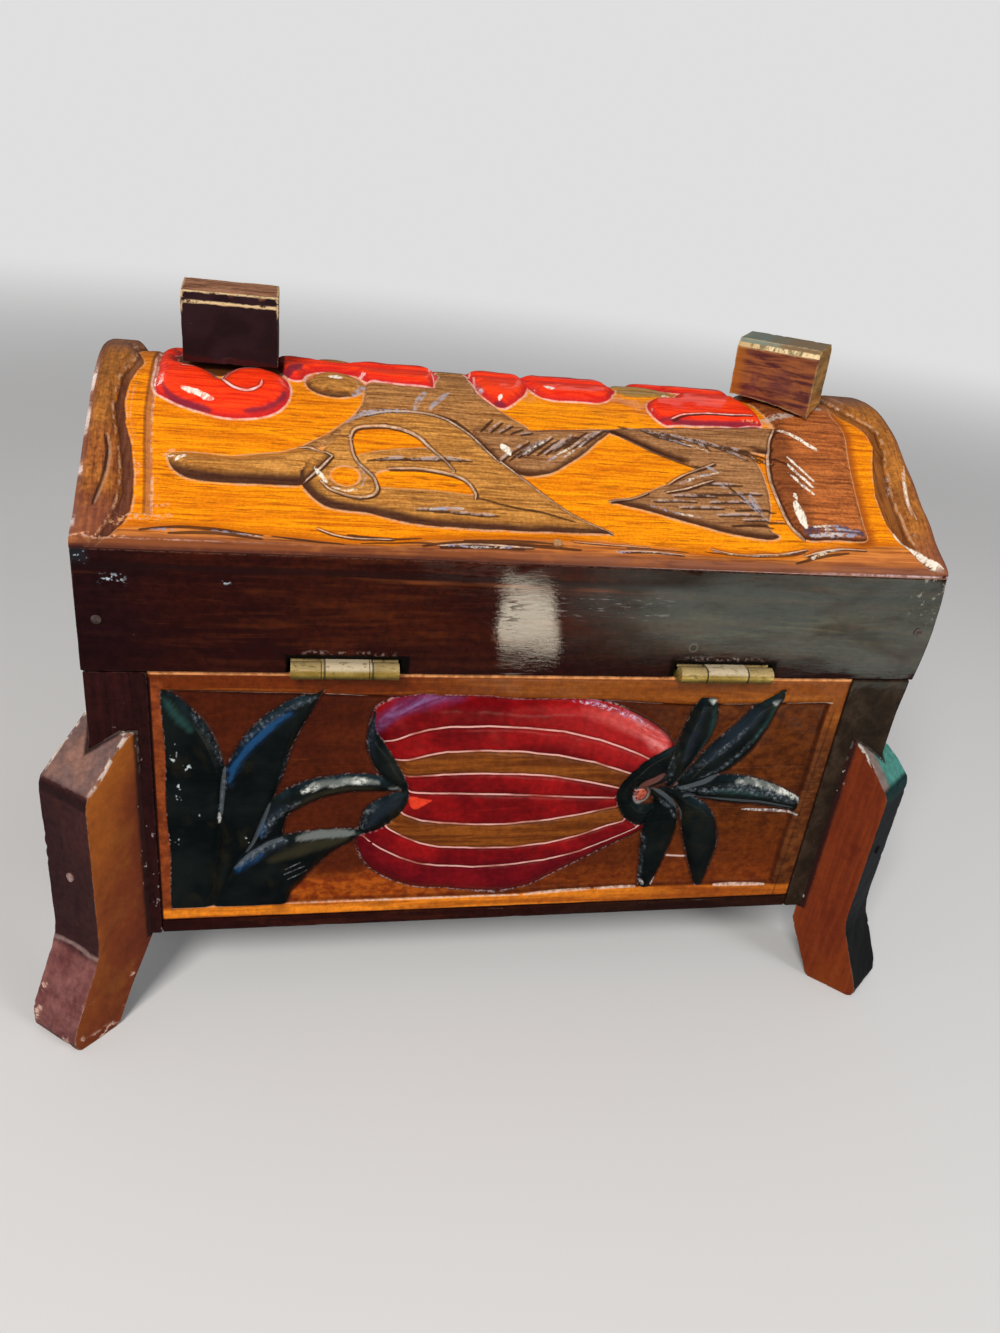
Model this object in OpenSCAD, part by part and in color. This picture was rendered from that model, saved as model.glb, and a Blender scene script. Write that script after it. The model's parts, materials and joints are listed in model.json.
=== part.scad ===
// Small domed-lid wooden trunk on four splayed corner feet.
// Frame: +Z up, ground at Z = 0, +X to the right seen from the front,
// the opening side (front) faces -Y, the hinges are on the +Y side.
// Left and right in the names are as seen from the front.

/* [Trunk] */
// Length of the lid along X
trunk_len = 212; // [190:2:240]
// Depth of the lid along Y
trunk_dep = 120; // [110:2:135]
// Height of the seam between body and lid above the ground
seam_z = 102; // [97:1:112]
// Height of the body walls
body_h = 78.5; // [74:0.5:80]
// How far the body's front and back stand back from the lid's
body_inset = 0.6; // [0.2:0.1:1.5]
// How far the body's ends stand back from the lid's right end
end_inset = 0.2; // [0:0.1:1]
// How much further the lid reaches at its left end
left_extra = 1; // [0:0.1:1.5]
// Gap between the body's top edge and the closed lid
seam_gap = 0.4; // [0.3:0.1:0.8]

/* [Boards] */
// Thickness of the body's left end board
end_t_left = 16.5; // [12:0.5:19]
// Thickness of the body's right end board
end_t_right = 14; // [12:1:19]
// Thickness of the carved front and back boards
panel_t = 12; // [9:1:15]
// Thickness of the bottom board
bottom_t = 4; // [3:0.5:8]
// Thickness of the lid's front and back rails
rail_t = 12; // [10:1:14]
// Thickness of the lid's end boards
lid_end_t = 12; // [8:1:15]

/* [Lid arch] */
// Height of the lid's rails up to the arris of the carved top
rail_h = 31.5; // [28:0.5:36]
// Slope of the straight lower part of the top, in degrees
slope_deg = 33; // [28:1:36]
// Depth of the straight sloped part, measured along Y
slope_run = 37; // [30:1:40]
// Thickness of the carved top
top_t = 8; // [6:0.5:9]
// Thickness of the top's planed edge where it lies on a rail
top_edge_t = 1.5; // [1:0.1:2]

/* [Crown blocks] */
// Distance of the left block's centre from the middle of the lid
block_x_left = 76.7; // [60:0.1:80]
// Distance of the right block's centre from the middle of the lid
block_x_right = 74.9; // [60:0.1:80]
// Offset of both blocks from the crown towards the hinges
block_y = 2.7; // [0:0.1:6]
// Block width and depth
block_size = [23, 14.3];
// Height of the left block
block_h_left = 16.6; // [14:0.1:20]
// Height of the right block
block_h_right = 17.4; // [14:0.1:20]
// Turn of the left block about the vertical, in degrees
left_block_yaw = -40; // [-45:1:10]
// Chamfer on the blocks' long top edges
block_chamfer = 2; // [0.5:0.5:3]

/* [Feet] */
// Thickness of the board that each foot is sawn from
foot_t = 16; // [12:1:18]
// How far the straight part of the right feet stands out from the body's corner
foot_out_right = 8.2; // [6:0.1:10]
// How far the straight part of the left feet stands out from the body's corner
foot_out_left = 6.9; // [5:0.1:9]
// How far the toe of the right feet stands out from the body's corner
toe_out_right = 17.4; // [14:0.1:19]
// How far the toe of the left feet stands out from the body's corner
toe_out_left = 15.6; // [13:0.1:18]
// Height of the nail through each foot
foot_nail_z = 48; // [40:1:60]

/* [Hinges] */
// Length of each butt hinge
hinge_len = 25.4; // [22:0.1:30]
// Length of the middle knuckle
mid_len = 11.3; // [9:0.1:13]
// Outer radius of the hinge barrel
barrel_r = 2.1; // [1.9:0.05:2.4]
// Radius of the hinge pin
pin_r = 1; // [0.8:0.05:1.1]
// Thickness of the hinge leaves
leaf_t = 0.9; // [0.7:0.05:1]
// How far the barrel's axis stands behind the lid's back face
barrel_out = 1.7; // [1.6:0.05:2]
// Distance of each hinge's centre from the middle of the trunk
hinge_x = [-50.4, 46.8];

/* [Hidden] */
$fn = 48;

hx = trunk_len/2;                 // lid half length
hy = trunk_dep/2;                 // lid half depth
bx = hx - end_inset;              // body half length
lid_x0 = -hx - left_extra;        // left end of the lid
by = hy - body_inset;             // body half depth
body_z = seam_z - body_h;         // underside of the body
lid_z = seam_z + seam_gap;        // underside of the lid
arris_z = seam_z + rail_h;        // lower edge of the carved top
rail_top = arris_z - top_edge_t;  // top of the rails

// Arch: a straight slope, then an arc tangent to it
arc_half = hy - slope_run;
arc_r = arc_half/sin(slope_deg);
arc_z0 = arris_z + slope_run*tan(slope_deg) - arc_r*cos(slope_deg);
crown_z = arc_z0 + arc_r;
arc_n = 24;
// Outline of the carved top from one arris over the crown to the other
function arch_pts(off) =
    let(r = arc_r - off, ly = arc_half - off*sin(slope_deg), lz = arc_z0 + r*cos(slope_deg))
    concat([[hy, lz - (hy - ly)*tan(slope_deg)]],
           [for (i = [0:arc_n]) let(a = slope_deg*(1 - 2*i/arc_n)) [r*sin(a), arc_z0 + r*cos(a)]],
           [[-hy, lz - (hy - ly)*tan(slope_deg)]]);

// Hinge axis
axis_y = hy + barrel_out;
axis_z = seam_z + barrel_r;
leaf_in = 11;                     // leaf reach from the axis into the box
knuckle_gap = 0.2;                // axial gap between knuckles
leaf_clear = 0.3;                 // gap between a leaf's edge and the other leaf's knuckles
screw_dx = 7;                     // screws left and right of a hinge's centre
screw_in = 7.2;                   // screws' distance from the axis

// ---------- shared shapes ----------

// A sheet lying in Y-Z, extruded along X from x0 to x1
module along_x(x0, x1) {
    translate([x0, 0, 0]) rotate([90, 0, 90]) linear_extrude(height = x1 - x0) children();
}

// Everything below the outer surface of the arch, a little longer than the lid
module under_arch(off, x0, x1, z0) {
    along_x(x0, x1) polygon(concat([[hy, z0]], arch_pts(off), [[-hy, z0]]));
}

module board(x0, x1, y0, y1, z0, z1) {
    translate([x0, y0, z0]) cube([x1 - x0, y1 - y0, z1 - z0]);
}

// A round-headed nail: shank from its head at the origin along -Z, head standing proud of Z = 0
module nail(len, head_r = 1.1, proud = 0.25, shank_r = 0.7) {
    translate([0, 0, -len]) cylinder(r = shank_r, h = len, $fn = 16);
    translate([0, 0, -0.5]) cylinder(r = head_r, h = 0.5 + proud, $fn = 20);
}

// ---------- body ----------

// Where the front, back and bottom boards run between the end boards
in_x0 = -bx + end_t_left;
in_x1 = bx - end_t_right;

module back_board() {
    color("chocolate") board(in_x0, in_x1, by - panel_t, by - 0.2, body_z + bottom_t, seam_z);
}

module front_board() {
    color("chocolate") board(in_x0, in_x1, -by + 0.2, -by + panel_t, body_z + bottom_t, seam_z);
}

module left_end_board() {
    color([0.25, 0.1, 0.06]) board(-bx, in_x0, -by, by, body_z, seam_z);
}
module right_end_board() {
    color([0.25, 0.1, 0.06]) board(in_x1, bx, -by, by, body_z, seam_z);
}

module bottom_board() {
    color([0.25, 0.1, 0.06]) board(in_x0, in_x1, -by + 0.3, by - 0.3, body_z, body_z + bottom_t);
}

// Side outline of a foot: u outwards along the corner's diagonal, z up.
// The left feet are sawn and set a little lower than the right ones.
foot_pts_right = concat(
    [[-9, 86.5], [-5, 86.5], [0.4, 81.2], [foot_out_right - 0.9, 74.4], [foot_out_right - 0.2, 72.6], [foot_out_right, 70]],
    [[foot_out_right, 30], [foot_out_right + 0.3, 26.8], [foot_out_right + 1.5, 23.2]],
    [[toe_out_right - 1.2, 8.4], [toe_out_right - 0.2, 4.9], [toe_out_right, 2.9], [toe_out_right - 0.6, 0.9], [toe_out_right - 1.8, 0]],
    [[5.6, 0], [4.2, 0.9], [-7.5, 21.8], [-9, 24.5]]);
foot_pts_left = concat(
    [[-9, 84], [-7.6, 84], [-4.6, 81.6], [2.4, 74.8], [foot_out_left - 0.7, 70.4], [foot_out_left - 0.1, 68.6], [foot_out_left, 66]],
    [[foot_out_left, 28], [foot_out_left + 0.2, 25], [foot_out_left + 0.9, 21.6]],
    [[toe_out_left - 1.3, 6.4], [toe_out_left - 0.2, 3.6], [toe_out_left, 2.3], [toe_out_left - 0.6, 0.7], [toe_out_left - 1.8, 0]],
    [[0.8, 0], [-0.5, 0.8], [-7.8, 15.4], [-9, 18.5]]);

module foot(sx, sy) {
    color([0.55, 0.25, 0.1]) difference() {
        translate([sx*bx, sy*by, 0]) rotate([0, 0, atan2(sy, sx)])
            rotate([90, 0, 0]) linear_extrude(height = foot_t, center = true)
                polygon(sx > 0 ? foot_pts_right : foot_pts_left);
        board(-bx, bx, -by, by, body_z, seam_z);
    }
}
module foot_back_left() { foot(-1, 1); }
module foot_back_right() { foot(1, 1); }
module foot_front_left() { foot(-1, -1); }
module foot_front_right() { foot(1, -1); }

// Nails through the end boards into the edges of the front and back boards,
// with flush heads where a foot covers them
module body_nails() {
    color("dimgray") for (sx = [-1, 1], sy = [-1, 1], z = [94, 62, 36])
        translate([sx*bx, sy*(by - panel_t/2), z]) rotate([0, sx*90, 0]) nail(26, 0.9, z > 90 ? 0.1 : 0);
}

// One nail through each foot into the body's corner
module foot_nails() {
    color("dimgray") for (sx = [-1, 1], sy = [-1, 1])
        translate([sx*bx, sy*by, foot_nail_z]) rotate([0, 0, atan2(sy, sx)])
            translate([sx > 0 ? foot_out_right : foot_out_left, 0, 0]) rotate([0, 90, 0]) nail(20, 1.2, 0.3);
}

// ---------- hinges ----------

// Where the middle knuckle sits within a hinge, from its left end
mid_0 = (hinge_len - mid_len)/2;
mid_1 = mid_0 + mid_len;

module knuckle(x0, x1, bore_r) {
    translate([x0, axis_y, axis_z]) rotate([0, 90, 0]) difference() {
        cylinder(r = barrel_r, h = x1 - x0);
        translate([0, 0, -1]) cylinder(r = bore_r, h = x1 - x0 + 2);
    }
}

module bore(x0, x1, r) {
    translate([x0, axis_y, axis_z]) rotate([0, 90, 0]) cylinder(r = r, h = x1 - x0);
}

// Leaf on the body: plate under the barrel, outer two knuckles
module body_leaf(c) {
    x0 = c - hinge_len/2;
    color("goldenrod") difference() {
        union() {
            board(x0, x0 + hinge_len, axis_y - leaf_in, axis_y - barrel_r - leaf_clear, seam_z, seam_z + leaf_t);
            for (s = [[0, mid_0 - knuckle_gap/2], [mid_1 + knuckle_gap/2, hinge_len]]) {
                board(x0 + s[0], x0 + s[1], axis_y - barrel_r - leaf_clear - 0.1, axis_y, seam_z, seam_z + leaf_t);
                translate([x0 + s[0], axis_y, axis_z]) rotate([0, 90, 0]) cylinder(r = barrel_r, h = s[1] - s[0]);
            }
        }
        bore(x0 - 1, x0 + hinge_len + 1, pin_r - 0.02);
        for (d = [-screw_dx, screw_dx])
            translate([c + d, axis_y - screw_in, seam_z - 1]) cylinder(r = 1.75, h = leaf_t + 2);
    }
}

// Leaf on the lid: plate over the barrel, middle knuckle
module lid_leaf(c) {
    x0 = c - hinge_len/2;
    color("goldenrod") difference() {
        union() {
            board(x0, x0 + hinge_len, axis_y - leaf_in, axis_y - barrel_r - leaf_clear,
                  axis_z + barrel_r - leaf_t, axis_z + barrel_r);
            board(x0 + mid_0 + knuckle_gap/2, x0 + mid_1 - knuckle_gap/2, axis_y - barrel_r - leaf_clear - 0.1, axis_y,
                  axis_z + barrel_r - leaf_t, axis_z + barrel_r);
            translate([x0 + mid_0 + knuckle_gap/2, axis_y, axis_z]) rotate([0, 90, 0])
                cylinder(r = barrel_r, h = mid_len - knuckle_gap);
        }
        bore(x0 - 1, x0 + hinge_len + 1, pin_r + 0.04);
        for (d = [-screw_dx, screw_dx])
            translate([c + d, axis_y - screw_in, axis_z + barrel_r - leaf_t - 1]) cylinder(r = 1.75, h = leaf_t + 2);
    }
}

module hinge_pin(c) {
    color("gold") bore(c - hinge_len/2, c + hinge_len/2, pin_r);
}

module hinge_left_body_leaf() { body_leaf(hinge_x[0]); }
module hinge_right_body_leaf() { body_leaf(hinge_x[1]); }
module hinge_left_lid_leaf() { lid_leaf(hinge_x[0]); }
module hinge_right_lid_leaf() { lid_leaf(hinge_x[1]); }
module hinge_left_pin() { hinge_pin(hinge_x[0]); }
module hinge_right_pin() { hinge_pin(hinge_x[1]); }

// A slotted screw: shank along -Z from Z = 0, head up to Z = leaf_t
module leaf_screw() {
    difference() {
        union() {
            translate([0, 0, -8]) cylinder(r = 0.9, h = 8.2, $fn = 16);
            cylinder(r = 1.6, h = leaf_t, $fn = 24);
        }
        translate([-2, -0.2, leaf_t - 0.4]) cube([4, 0.4, 1]);
    }
}
module body_leaf_screws() {
    color("gold") for (c = hinge_x, d = [-screw_dx, screw_dx])
        translate([c + d, axis_y - screw_in, seam_z]) rotate([0, 0, c + 4*d]) leaf_screw();
}
module lid_leaf_screws() {
    color("gold") for (c = hinge_x, d = [-screw_dx, screw_dx])
        translate([c + d, axis_y - screw_in, axis_z + barrel_r]) rotate([180, 0, 3*c + 5*d]) leaf_screw();
}

// ---------- lid ----------

// Carved top: an arched board, hollow beneath, planed flat where it lies on the rails
module lid_top() {
    color("orange") difference() {
        under_arch(0, lid_x0, hx, rail_top);
        difference() {
            under_arch(top_t, lid_x0 - 1, hx + 1, rail_top - 5);
            board(lid_x0 - 2, hx + 2, hy - rail_t, hy + 1, rail_top - 10, crown_z);
            board(lid_x0 - 2, hx + 2, -hy - 1, -hy + rail_t, rail_top - 10, crown_z);
        }
    }
}

// Recess in the back rail around each hinge
module hinge_recess() {
    for (c = hinge_x)
        board(c - hinge_len/2 - 0.6, c + hinge_len/2 + 0.6, axis_y - leaf_in - 0.5, hy + 5,
              lid_z - 1, axis_z + barrel_r);
}

module lid_back_rail() {
    color([0.22, 0.08, 0.05]) difference() {
        board(lid_x0, hx, hy - rail_t, hy, lid_z, rail_top);
        hinge_recess();
    }
}

module lid_front_rail() {
    color([0.22, 0.08, 0.05]) board(lid_x0, hx, -hy, -hy + rail_t, lid_z, rail_top);
}

module lid_end(x0) {
    color([0.3, 0.12, 0.07]) intersection() {
        under_arch(top_t, x0, x0 + lid_end_t, lid_z);
        board(x0, x0 + lid_end_t, -hy + rail_t, hy - rail_t, lid_z, crown_z);
    }
}
module lid_left_end() { lid_end(lid_x0); }
module lid_right_end() { lid_end(hx - lid_end_t); }

// Rectangular block on the crown, its underside cut to the arch
module crown_block(x, h, yaw, lean) {
    w = block_size[0];
    d = block_size[1];
    difference() {
        translate([x, block_y, crown_z - 1.4]) rotate([0, 0, yaw]) rotate([-lean, 0, 0])
            translate([-w/2, 0, 0]) rotate([90, 0, 90]) linear_extrude(height = w)
                polygon([[-d/2, -3], [d/2, -3], [d/2, h + 0.9 - block_chamfer], [d/2 - block_chamfer, h + 0.9],
                         [-d/2 + block_chamfer, h + 0.9], [-d/2, h + 0.9 - block_chamfer]]);
        under_arch(0, lid_x0 - 1, hx + 1, lid_z);
    }
}
module lid_block_left() { color([0.5, 0.28, 0.14]) crown_block(-block_x_left, block_h_left, left_block_yaw, 6); }
module lid_block_right() { color([0.16, 0.07, 0.06]) crown_block(block_x_right, block_h_right, 0, 10); }

// Nails through the rails into the lid's end boards, and through the top into rails and end boards
module lid_nails() {
    color("dimgray") {
        for (p = [[-103.4, 14.8], [101.7, 13.4]], sy = [-1, 1])
            translate([p[0], sy*hy, seam_z + p[1]]) rotate([sy*-90, 0, 0]) nail(22, 1.1, 0.2);
        for (x = [-2.4, 101.3, -101.6], s = [-1, 1])
            let(y = x == -2.4 ? 56 : (x > 0 ? 36 : 49.6), z = arris_z + (hy - y)*tan(slope_deg))
                translate([x, s*y, z]) rotate([-s*slope_deg, 0, 0]) nail(x == -2.4 ? 9 : 16, 1.1, 0.2);
    }
}

back_board();
front_board();
left_end_board();
right_end_board();
bottom_board();
foot_back_left();
foot_back_right();
foot_front_left();
foot_front_right();
body_nails();
foot_nails();
hinge_left_body_leaf();
hinge_right_body_leaf();
hinge_left_pin();
hinge_right_pin();
body_leaf_screws();
lid_top();
lid_back_rail();
lid_front_rail();
lid_left_end();
lid_right_end();
lid_block_left();
lid_block_right();
hinge_left_lid_leaf();
hinge_right_lid_leaf();
lid_leaf_screws();
lid_nails();
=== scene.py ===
import json
import math
import bpy
import bmesh
import numpy as np
from mathutils import Matrix, Vector

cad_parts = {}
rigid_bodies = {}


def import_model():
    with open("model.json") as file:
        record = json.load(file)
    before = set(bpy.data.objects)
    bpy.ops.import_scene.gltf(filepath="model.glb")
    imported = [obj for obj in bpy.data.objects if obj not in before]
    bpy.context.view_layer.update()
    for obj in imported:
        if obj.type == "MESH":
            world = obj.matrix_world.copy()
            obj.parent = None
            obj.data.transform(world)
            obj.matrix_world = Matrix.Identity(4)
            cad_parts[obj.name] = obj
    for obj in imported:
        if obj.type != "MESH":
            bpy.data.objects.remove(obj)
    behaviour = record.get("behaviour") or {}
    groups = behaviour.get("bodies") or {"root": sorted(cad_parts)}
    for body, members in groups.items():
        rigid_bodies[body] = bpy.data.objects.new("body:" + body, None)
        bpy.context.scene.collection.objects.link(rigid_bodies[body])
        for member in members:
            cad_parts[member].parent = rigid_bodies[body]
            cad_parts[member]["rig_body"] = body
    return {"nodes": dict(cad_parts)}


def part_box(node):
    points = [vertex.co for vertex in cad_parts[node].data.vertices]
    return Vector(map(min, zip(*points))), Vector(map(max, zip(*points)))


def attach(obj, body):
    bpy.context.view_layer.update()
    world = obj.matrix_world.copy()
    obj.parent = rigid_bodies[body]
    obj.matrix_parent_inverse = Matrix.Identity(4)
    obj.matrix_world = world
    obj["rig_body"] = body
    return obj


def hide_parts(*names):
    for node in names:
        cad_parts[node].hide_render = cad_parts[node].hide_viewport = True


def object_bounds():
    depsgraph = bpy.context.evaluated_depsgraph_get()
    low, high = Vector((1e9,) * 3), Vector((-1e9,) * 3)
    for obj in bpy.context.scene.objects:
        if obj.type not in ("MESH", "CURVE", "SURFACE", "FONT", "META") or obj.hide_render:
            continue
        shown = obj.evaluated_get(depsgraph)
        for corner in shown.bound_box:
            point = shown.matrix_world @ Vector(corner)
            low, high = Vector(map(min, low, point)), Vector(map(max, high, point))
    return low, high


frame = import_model()
cad_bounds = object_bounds()
NODES = frame["nodes"]
MM = 0.001

# ------------------------------------------------------------------ camera
cam_data = bpy.data.cameras.new("camera")
cam_data.sensor_fit = "AUTO"
cam_data.sensor_width = 36.0
cam_data.lens = 26.10
cam_data.clip_start = 0.01
cam_data.clip_end = 20.0
cam = bpy.data.objects.new("camera", cam_data)
bpy.context.scene.collection.objects.link(cam)
cam_right = Vector((-0.976817, 0.184321, 0.108877))
cam_down = Vector((-0.012734, 0.457663, -0.889034))
cam_fwd = Vector((-0.213697, -0.869810, -0.444706))
cam.matrix_world = Matrix((
    (cam_right.x, -cam_down.x, -cam_fwd.x, 0.05992),
    (cam_right.y, -cam_down.y, -cam_fwd.y, 0.26726),
    (cam_right.z, -cam_down.z, -cam_fwd.z, 0.21092),
    (0, 0, 0, 1)))
bpy.context.scene.camera = cam


# ------------------------------------------------------------------ node graph helper
class Graph:
    def __init__(self, name):
        self.mat = bpy.data.materials.new(name)
        self.mat.use_nodes = True
        self.nt = self.mat.node_tree
        self.nt.nodes.clear()
        self.out = self.nt.nodes.new("ShaderNodeOutputMaterial")

    def node(self, kind, ins=None, **props):
        n = self.nt.nodes.new(kind)
        for k, v in props.items():
            setattr(n, k, v)
        for k, v in (ins or {}).items():
            self.put(n.inputs[k], v)
        return n

    def put(self, sock, v):
        if isinstance(v, bpy.types.NodeSocket):
            self.nt.links.new(v, sock)
        else:
            sock.default_value = v

    def math(self, op, a, b=0.0, c=0.0, clamp=False):
        n = self.node("ShaderNodeMath", operation=op, use_clamp=clamp)
        self.put(n.inputs[0], a)
        self.put(n.inputs[1], b)
        self.put(n.inputs[2], c)
        return n.outputs[0]

    def add(self, a, b):
        return self.math("ADD", a, b)

    def mul(self, a, b):
        return self.math("MULTIPLY", a, b)

    def sub(self, a, b):
        return self.math("SUBTRACT", a, b)

    def maxi(self, a, b):
        return self.math("MAXIMUM", a, b)

    def mini(self, a, b):
        return self.math("MINIMUM", a, b)

    def inv(self, a):
        return self.math("SUBTRACT", 1.0, a)

    def step(self, v, lo, hi, a=0.0, b=1.0):
        """a below lo, b above hi, smooth between; lo may be above hi"""
        if lo > hi:
            lo, hi, a, b = hi, lo, b, a
        n = self.node("ShaderNodeMapRange", interpolation_type="SMOOTHSTEP")
        self.put(n.inputs["Value"], v)
        n.inputs["From Min"].default_value = lo
        n.inputs["From Max"].default_value = hi
        n.inputs["To Min"].default_value = a
        n.inputs["To Max"].default_value = b
        return n.outputs["Result"]

    def mix(self, fac, a, b, blend="MIX"):
        n = self.node("ShaderNodeMix", data_type="RGBA", blend_type=blend)
        self.put(n.inputs[0], fac)
        self.put(n.inputs[6], a if isinstance(a, bpy.types.NodeSocket) else (*a, 1.0))
        self.put(n.inputs[7], b if isinstance(b, bpy.types.NodeSocket) else (*b, 1.0))
        return n.outputs[2]

    def lerp(self, fac, a, b):
        n = self.node("ShaderNodeMix", data_type="FLOAT")
        self.put(n.inputs[0], fac)
        self.put(n.inputs[2], a)
        self.put(n.inputs[3], b)
        return n.outputs[0]

    def obj(self):
        if not hasattr(self, "_tc"):
            self._tc = self.node("ShaderNodeTexCoord")
        return self._tc.outputs["Object"]

    def scaled(self, sx, sy, sz, vec=None, shift=(0, 0, 0), rot=(0, 0, 0)):
        n = self.node("ShaderNodeMapping")
        self.put(n.inputs["Vector"], vec if vec is not None else self.obj())
        n.inputs["Location"].default_value = shift
        n.inputs["Rotation"].default_value = rot
        n.inputs["Scale"].default_value = (sx, sy, sz)
        return n.outputs["Vector"]

    def noise(self, vec, scale=1.0, detail=3.0, rough=0.5, dist=0.0, out="Fac"):
        n = self.node("ShaderNodeTexNoise")
        self.put(n.inputs["Vector"], vec)
        n.inputs["Scale"].default_value = scale
        n.inputs["Detail"].default_value = detail
        n.inputs["Roughness"].default_value = rough
        n.inputs["Distortion"].default_value = dist
        return n.outputs[out]

    def xyz(self):
        if not hasattr(self, "_xyz"):
            self._xyz = self.node("ShaderNodeSeparateXYZ", {"Vector": self.obj()})
        return self._xyz.outputs

    def lin(self, ax, ay, az, c):
        """ax x + ay y + az z + c, in metres"""
        n = self.node("ShaderNodeVectorMath", {0: self.obj()}, operation="DOT_PRODUCT")
        n.inputs[1].default_value = (ax, ay, az)
        return self.add(n.outputs["Value"], c)

    def facing(self, x, y, z):
        """how far the surface faces a fixed direction of the object"""
        n = self.node("ShaderNodeVectorMath", {0: self.node("ShaderNodeTexCoord").outputs["Normal"]}, operation="DOT_PRODUCT")
        n.inputs[1].default_value = tuple(Vector((x, y, z)).normalized())
        return n.outputs["Value"]

    def band(self, v, a, b, soft):
        """1 between a and b"""
        return self.mul(self.step(v, a - soft, a + soft), self.step(v, b + soft, b - soft))

    def grit(self, col, amount, scale=750.0):
        """fine lighter and darker mottling"""
        n = self.noise(self.scaled(scale, scale, scale), 1.0, 4.0, 0.7)
        f = self.step(n, 0.32, 0.68, 1.0 - amount, 1.0 + amount)
        return self.mix(1.0, col, f, "MULTIPLY")

    def attr(self, name):
        return self.node("ShaderNodeAttribute", attribute_name=name).outputs["Fac"]

    def bump(self, height, strength=1.0, distance=0.001, normal=None):
        n = self.node("ShaderNodeBump")
        n.inputs["Strength"].default_value = strength
        n.inputs["Distance"].default_value = distance
        self.put(n.inputs["Height"], height)
        if normal is not None:
            self.put(n.inputs["Normal"], normal)
        return n.outputs["Normal"]

    def surface(self, color, rough, normal=None, metallic=0.0, coat=0.0, coat_rough=0.05, coat_normal=None, ior=1.5, spec=0.1):
        b = self.node("ShaderNodeBsdfPrincipled")
        self.put(b.inputs["Base Color"], color if isinstance(color, bpy.types.NodeSocket) else (*color, 1.0))
        self.put(b.inputs["Roughness"], rough)
        b.inputs["Metallic"].default_value = metallic
        b.inputs["IOR"].default_value = ior
        b.inputs["Specular IOR Level"].default_value = spec
        if normal is not None:
            self.put(b.inputs["Normal"], normal)
        if coat:
            b.inputs["Coat Weight"].default_value = coat
            b.inputs["Coat Roughness"].default_value = coat_rough
            b.inputs["Coat IOR"].default_value = 1.5
            if coat_normal is not None:
                self.put(b.inputs["Coat Normal"], coat_normal)
        self.nt.links.new(b.outputs[0], self.out.inputs["Surface"])
        return self.mat


def grain_along(g, axis, k_long=0.035, k_cross=1.0, scale=900.0, seed=0.0, dist=0.0, detail=3.0):
    """fine wood streaks running along one axis"""
    s = [k_cross * scale] * 3
    s[axis] = k_long * scale
    return g.noise(g.scaled(*s, shift=(seed, seed * 1.7, seed * 0.6)), 1.0, detail, 0.6, dist)


# ------------------------------------------------------------------ 2D distance helpers (numbers in mm)
def smooth_path(pts, closed, n=6):
    P = np.array(pts, float)
    m = len(P)
    out = []
    last = m if closed else m - 1
    for i in range(last):
        if closed:
            p0, p1, p2, p3 = P[(i - 1) % m], P[i], P[(i + 1) % m], P[(i + 2) % m]
        else:
            p0, p1, p2, p3 = P[max(i - 1, 0)], P[i], P[i + 1], P[min(i + 2, m - 1)]
        for k in range(n):
            t = k / n
            out.append(0.5 * ((2 * p1) + (p2 - p0) * t + (2 * p0 - 5 * p1 + 4 * p2 - p3) * t * t
                              + (3 * p1 - p0 - 3 * p2 + p3) * t ** 3))
    if not closed:
        out.append(P[-1])
    return np.array(out)


FAR = 9.0


def _near(A, B, poly, margin=FAR):
    lo, hi = poly.min(0) - margin, poly.max(0) + margin
    return np.where((A > lo[0]) & (A < hi[0]) & (B > lo[1]) & (B < hi[1]))[0]


def sd_poly(A, B, pts, smooth=True, n=5):
    """signed distance to a closed outline, negative inside, capped at FAR outside"""
    poly = smooth_path(pts, True, n) if smooth else np.array(pts, float)
    out = np.full(A.shape, FAR)
    idx = _near(A, B, poly)
    if len(idx) == 0:
        return out
    a, b = A[idx], B[idx]
    best = np.full(a.shape, 1e9)
    inside = np.zeros(a.shape, bool)
    q = np.roll(poly, -1, axis=0)
    for (x0, y0), (x1, y1) in zip(poly, q):
        dx, dy = x1 - x0, y1 - y0
        L2 = dx * dx + dy * dy + 1e-12
        t = np.clip(((a - x0) * dx + (b - y0) * dy) / L2, 0, 1)
        best = np.minimum(best, (a - x0 - t * dx) ** 2 + (b - y0 - t * dy) ** 2)
        if y0 != y1:
            cross = ((y0 > b) != (y1 > b)) & (a < (x1 - x0) * (b - y0) / (y1 - y0) + x0)
            inside ^= cross
    d = np.sqrt(best)
    out[idx] = np.minimum(np.where(inside, -d, d), FAR)
    return out


def sd_ellipse(A, B, ca, cb, ra, rb):
    k = np.sqrt(((A - ca) / ra) ** 2 + ((B - cb) / rb) ** 2)
    return np.minimum((k - 1) * min(ra, rb), FAR)


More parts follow.
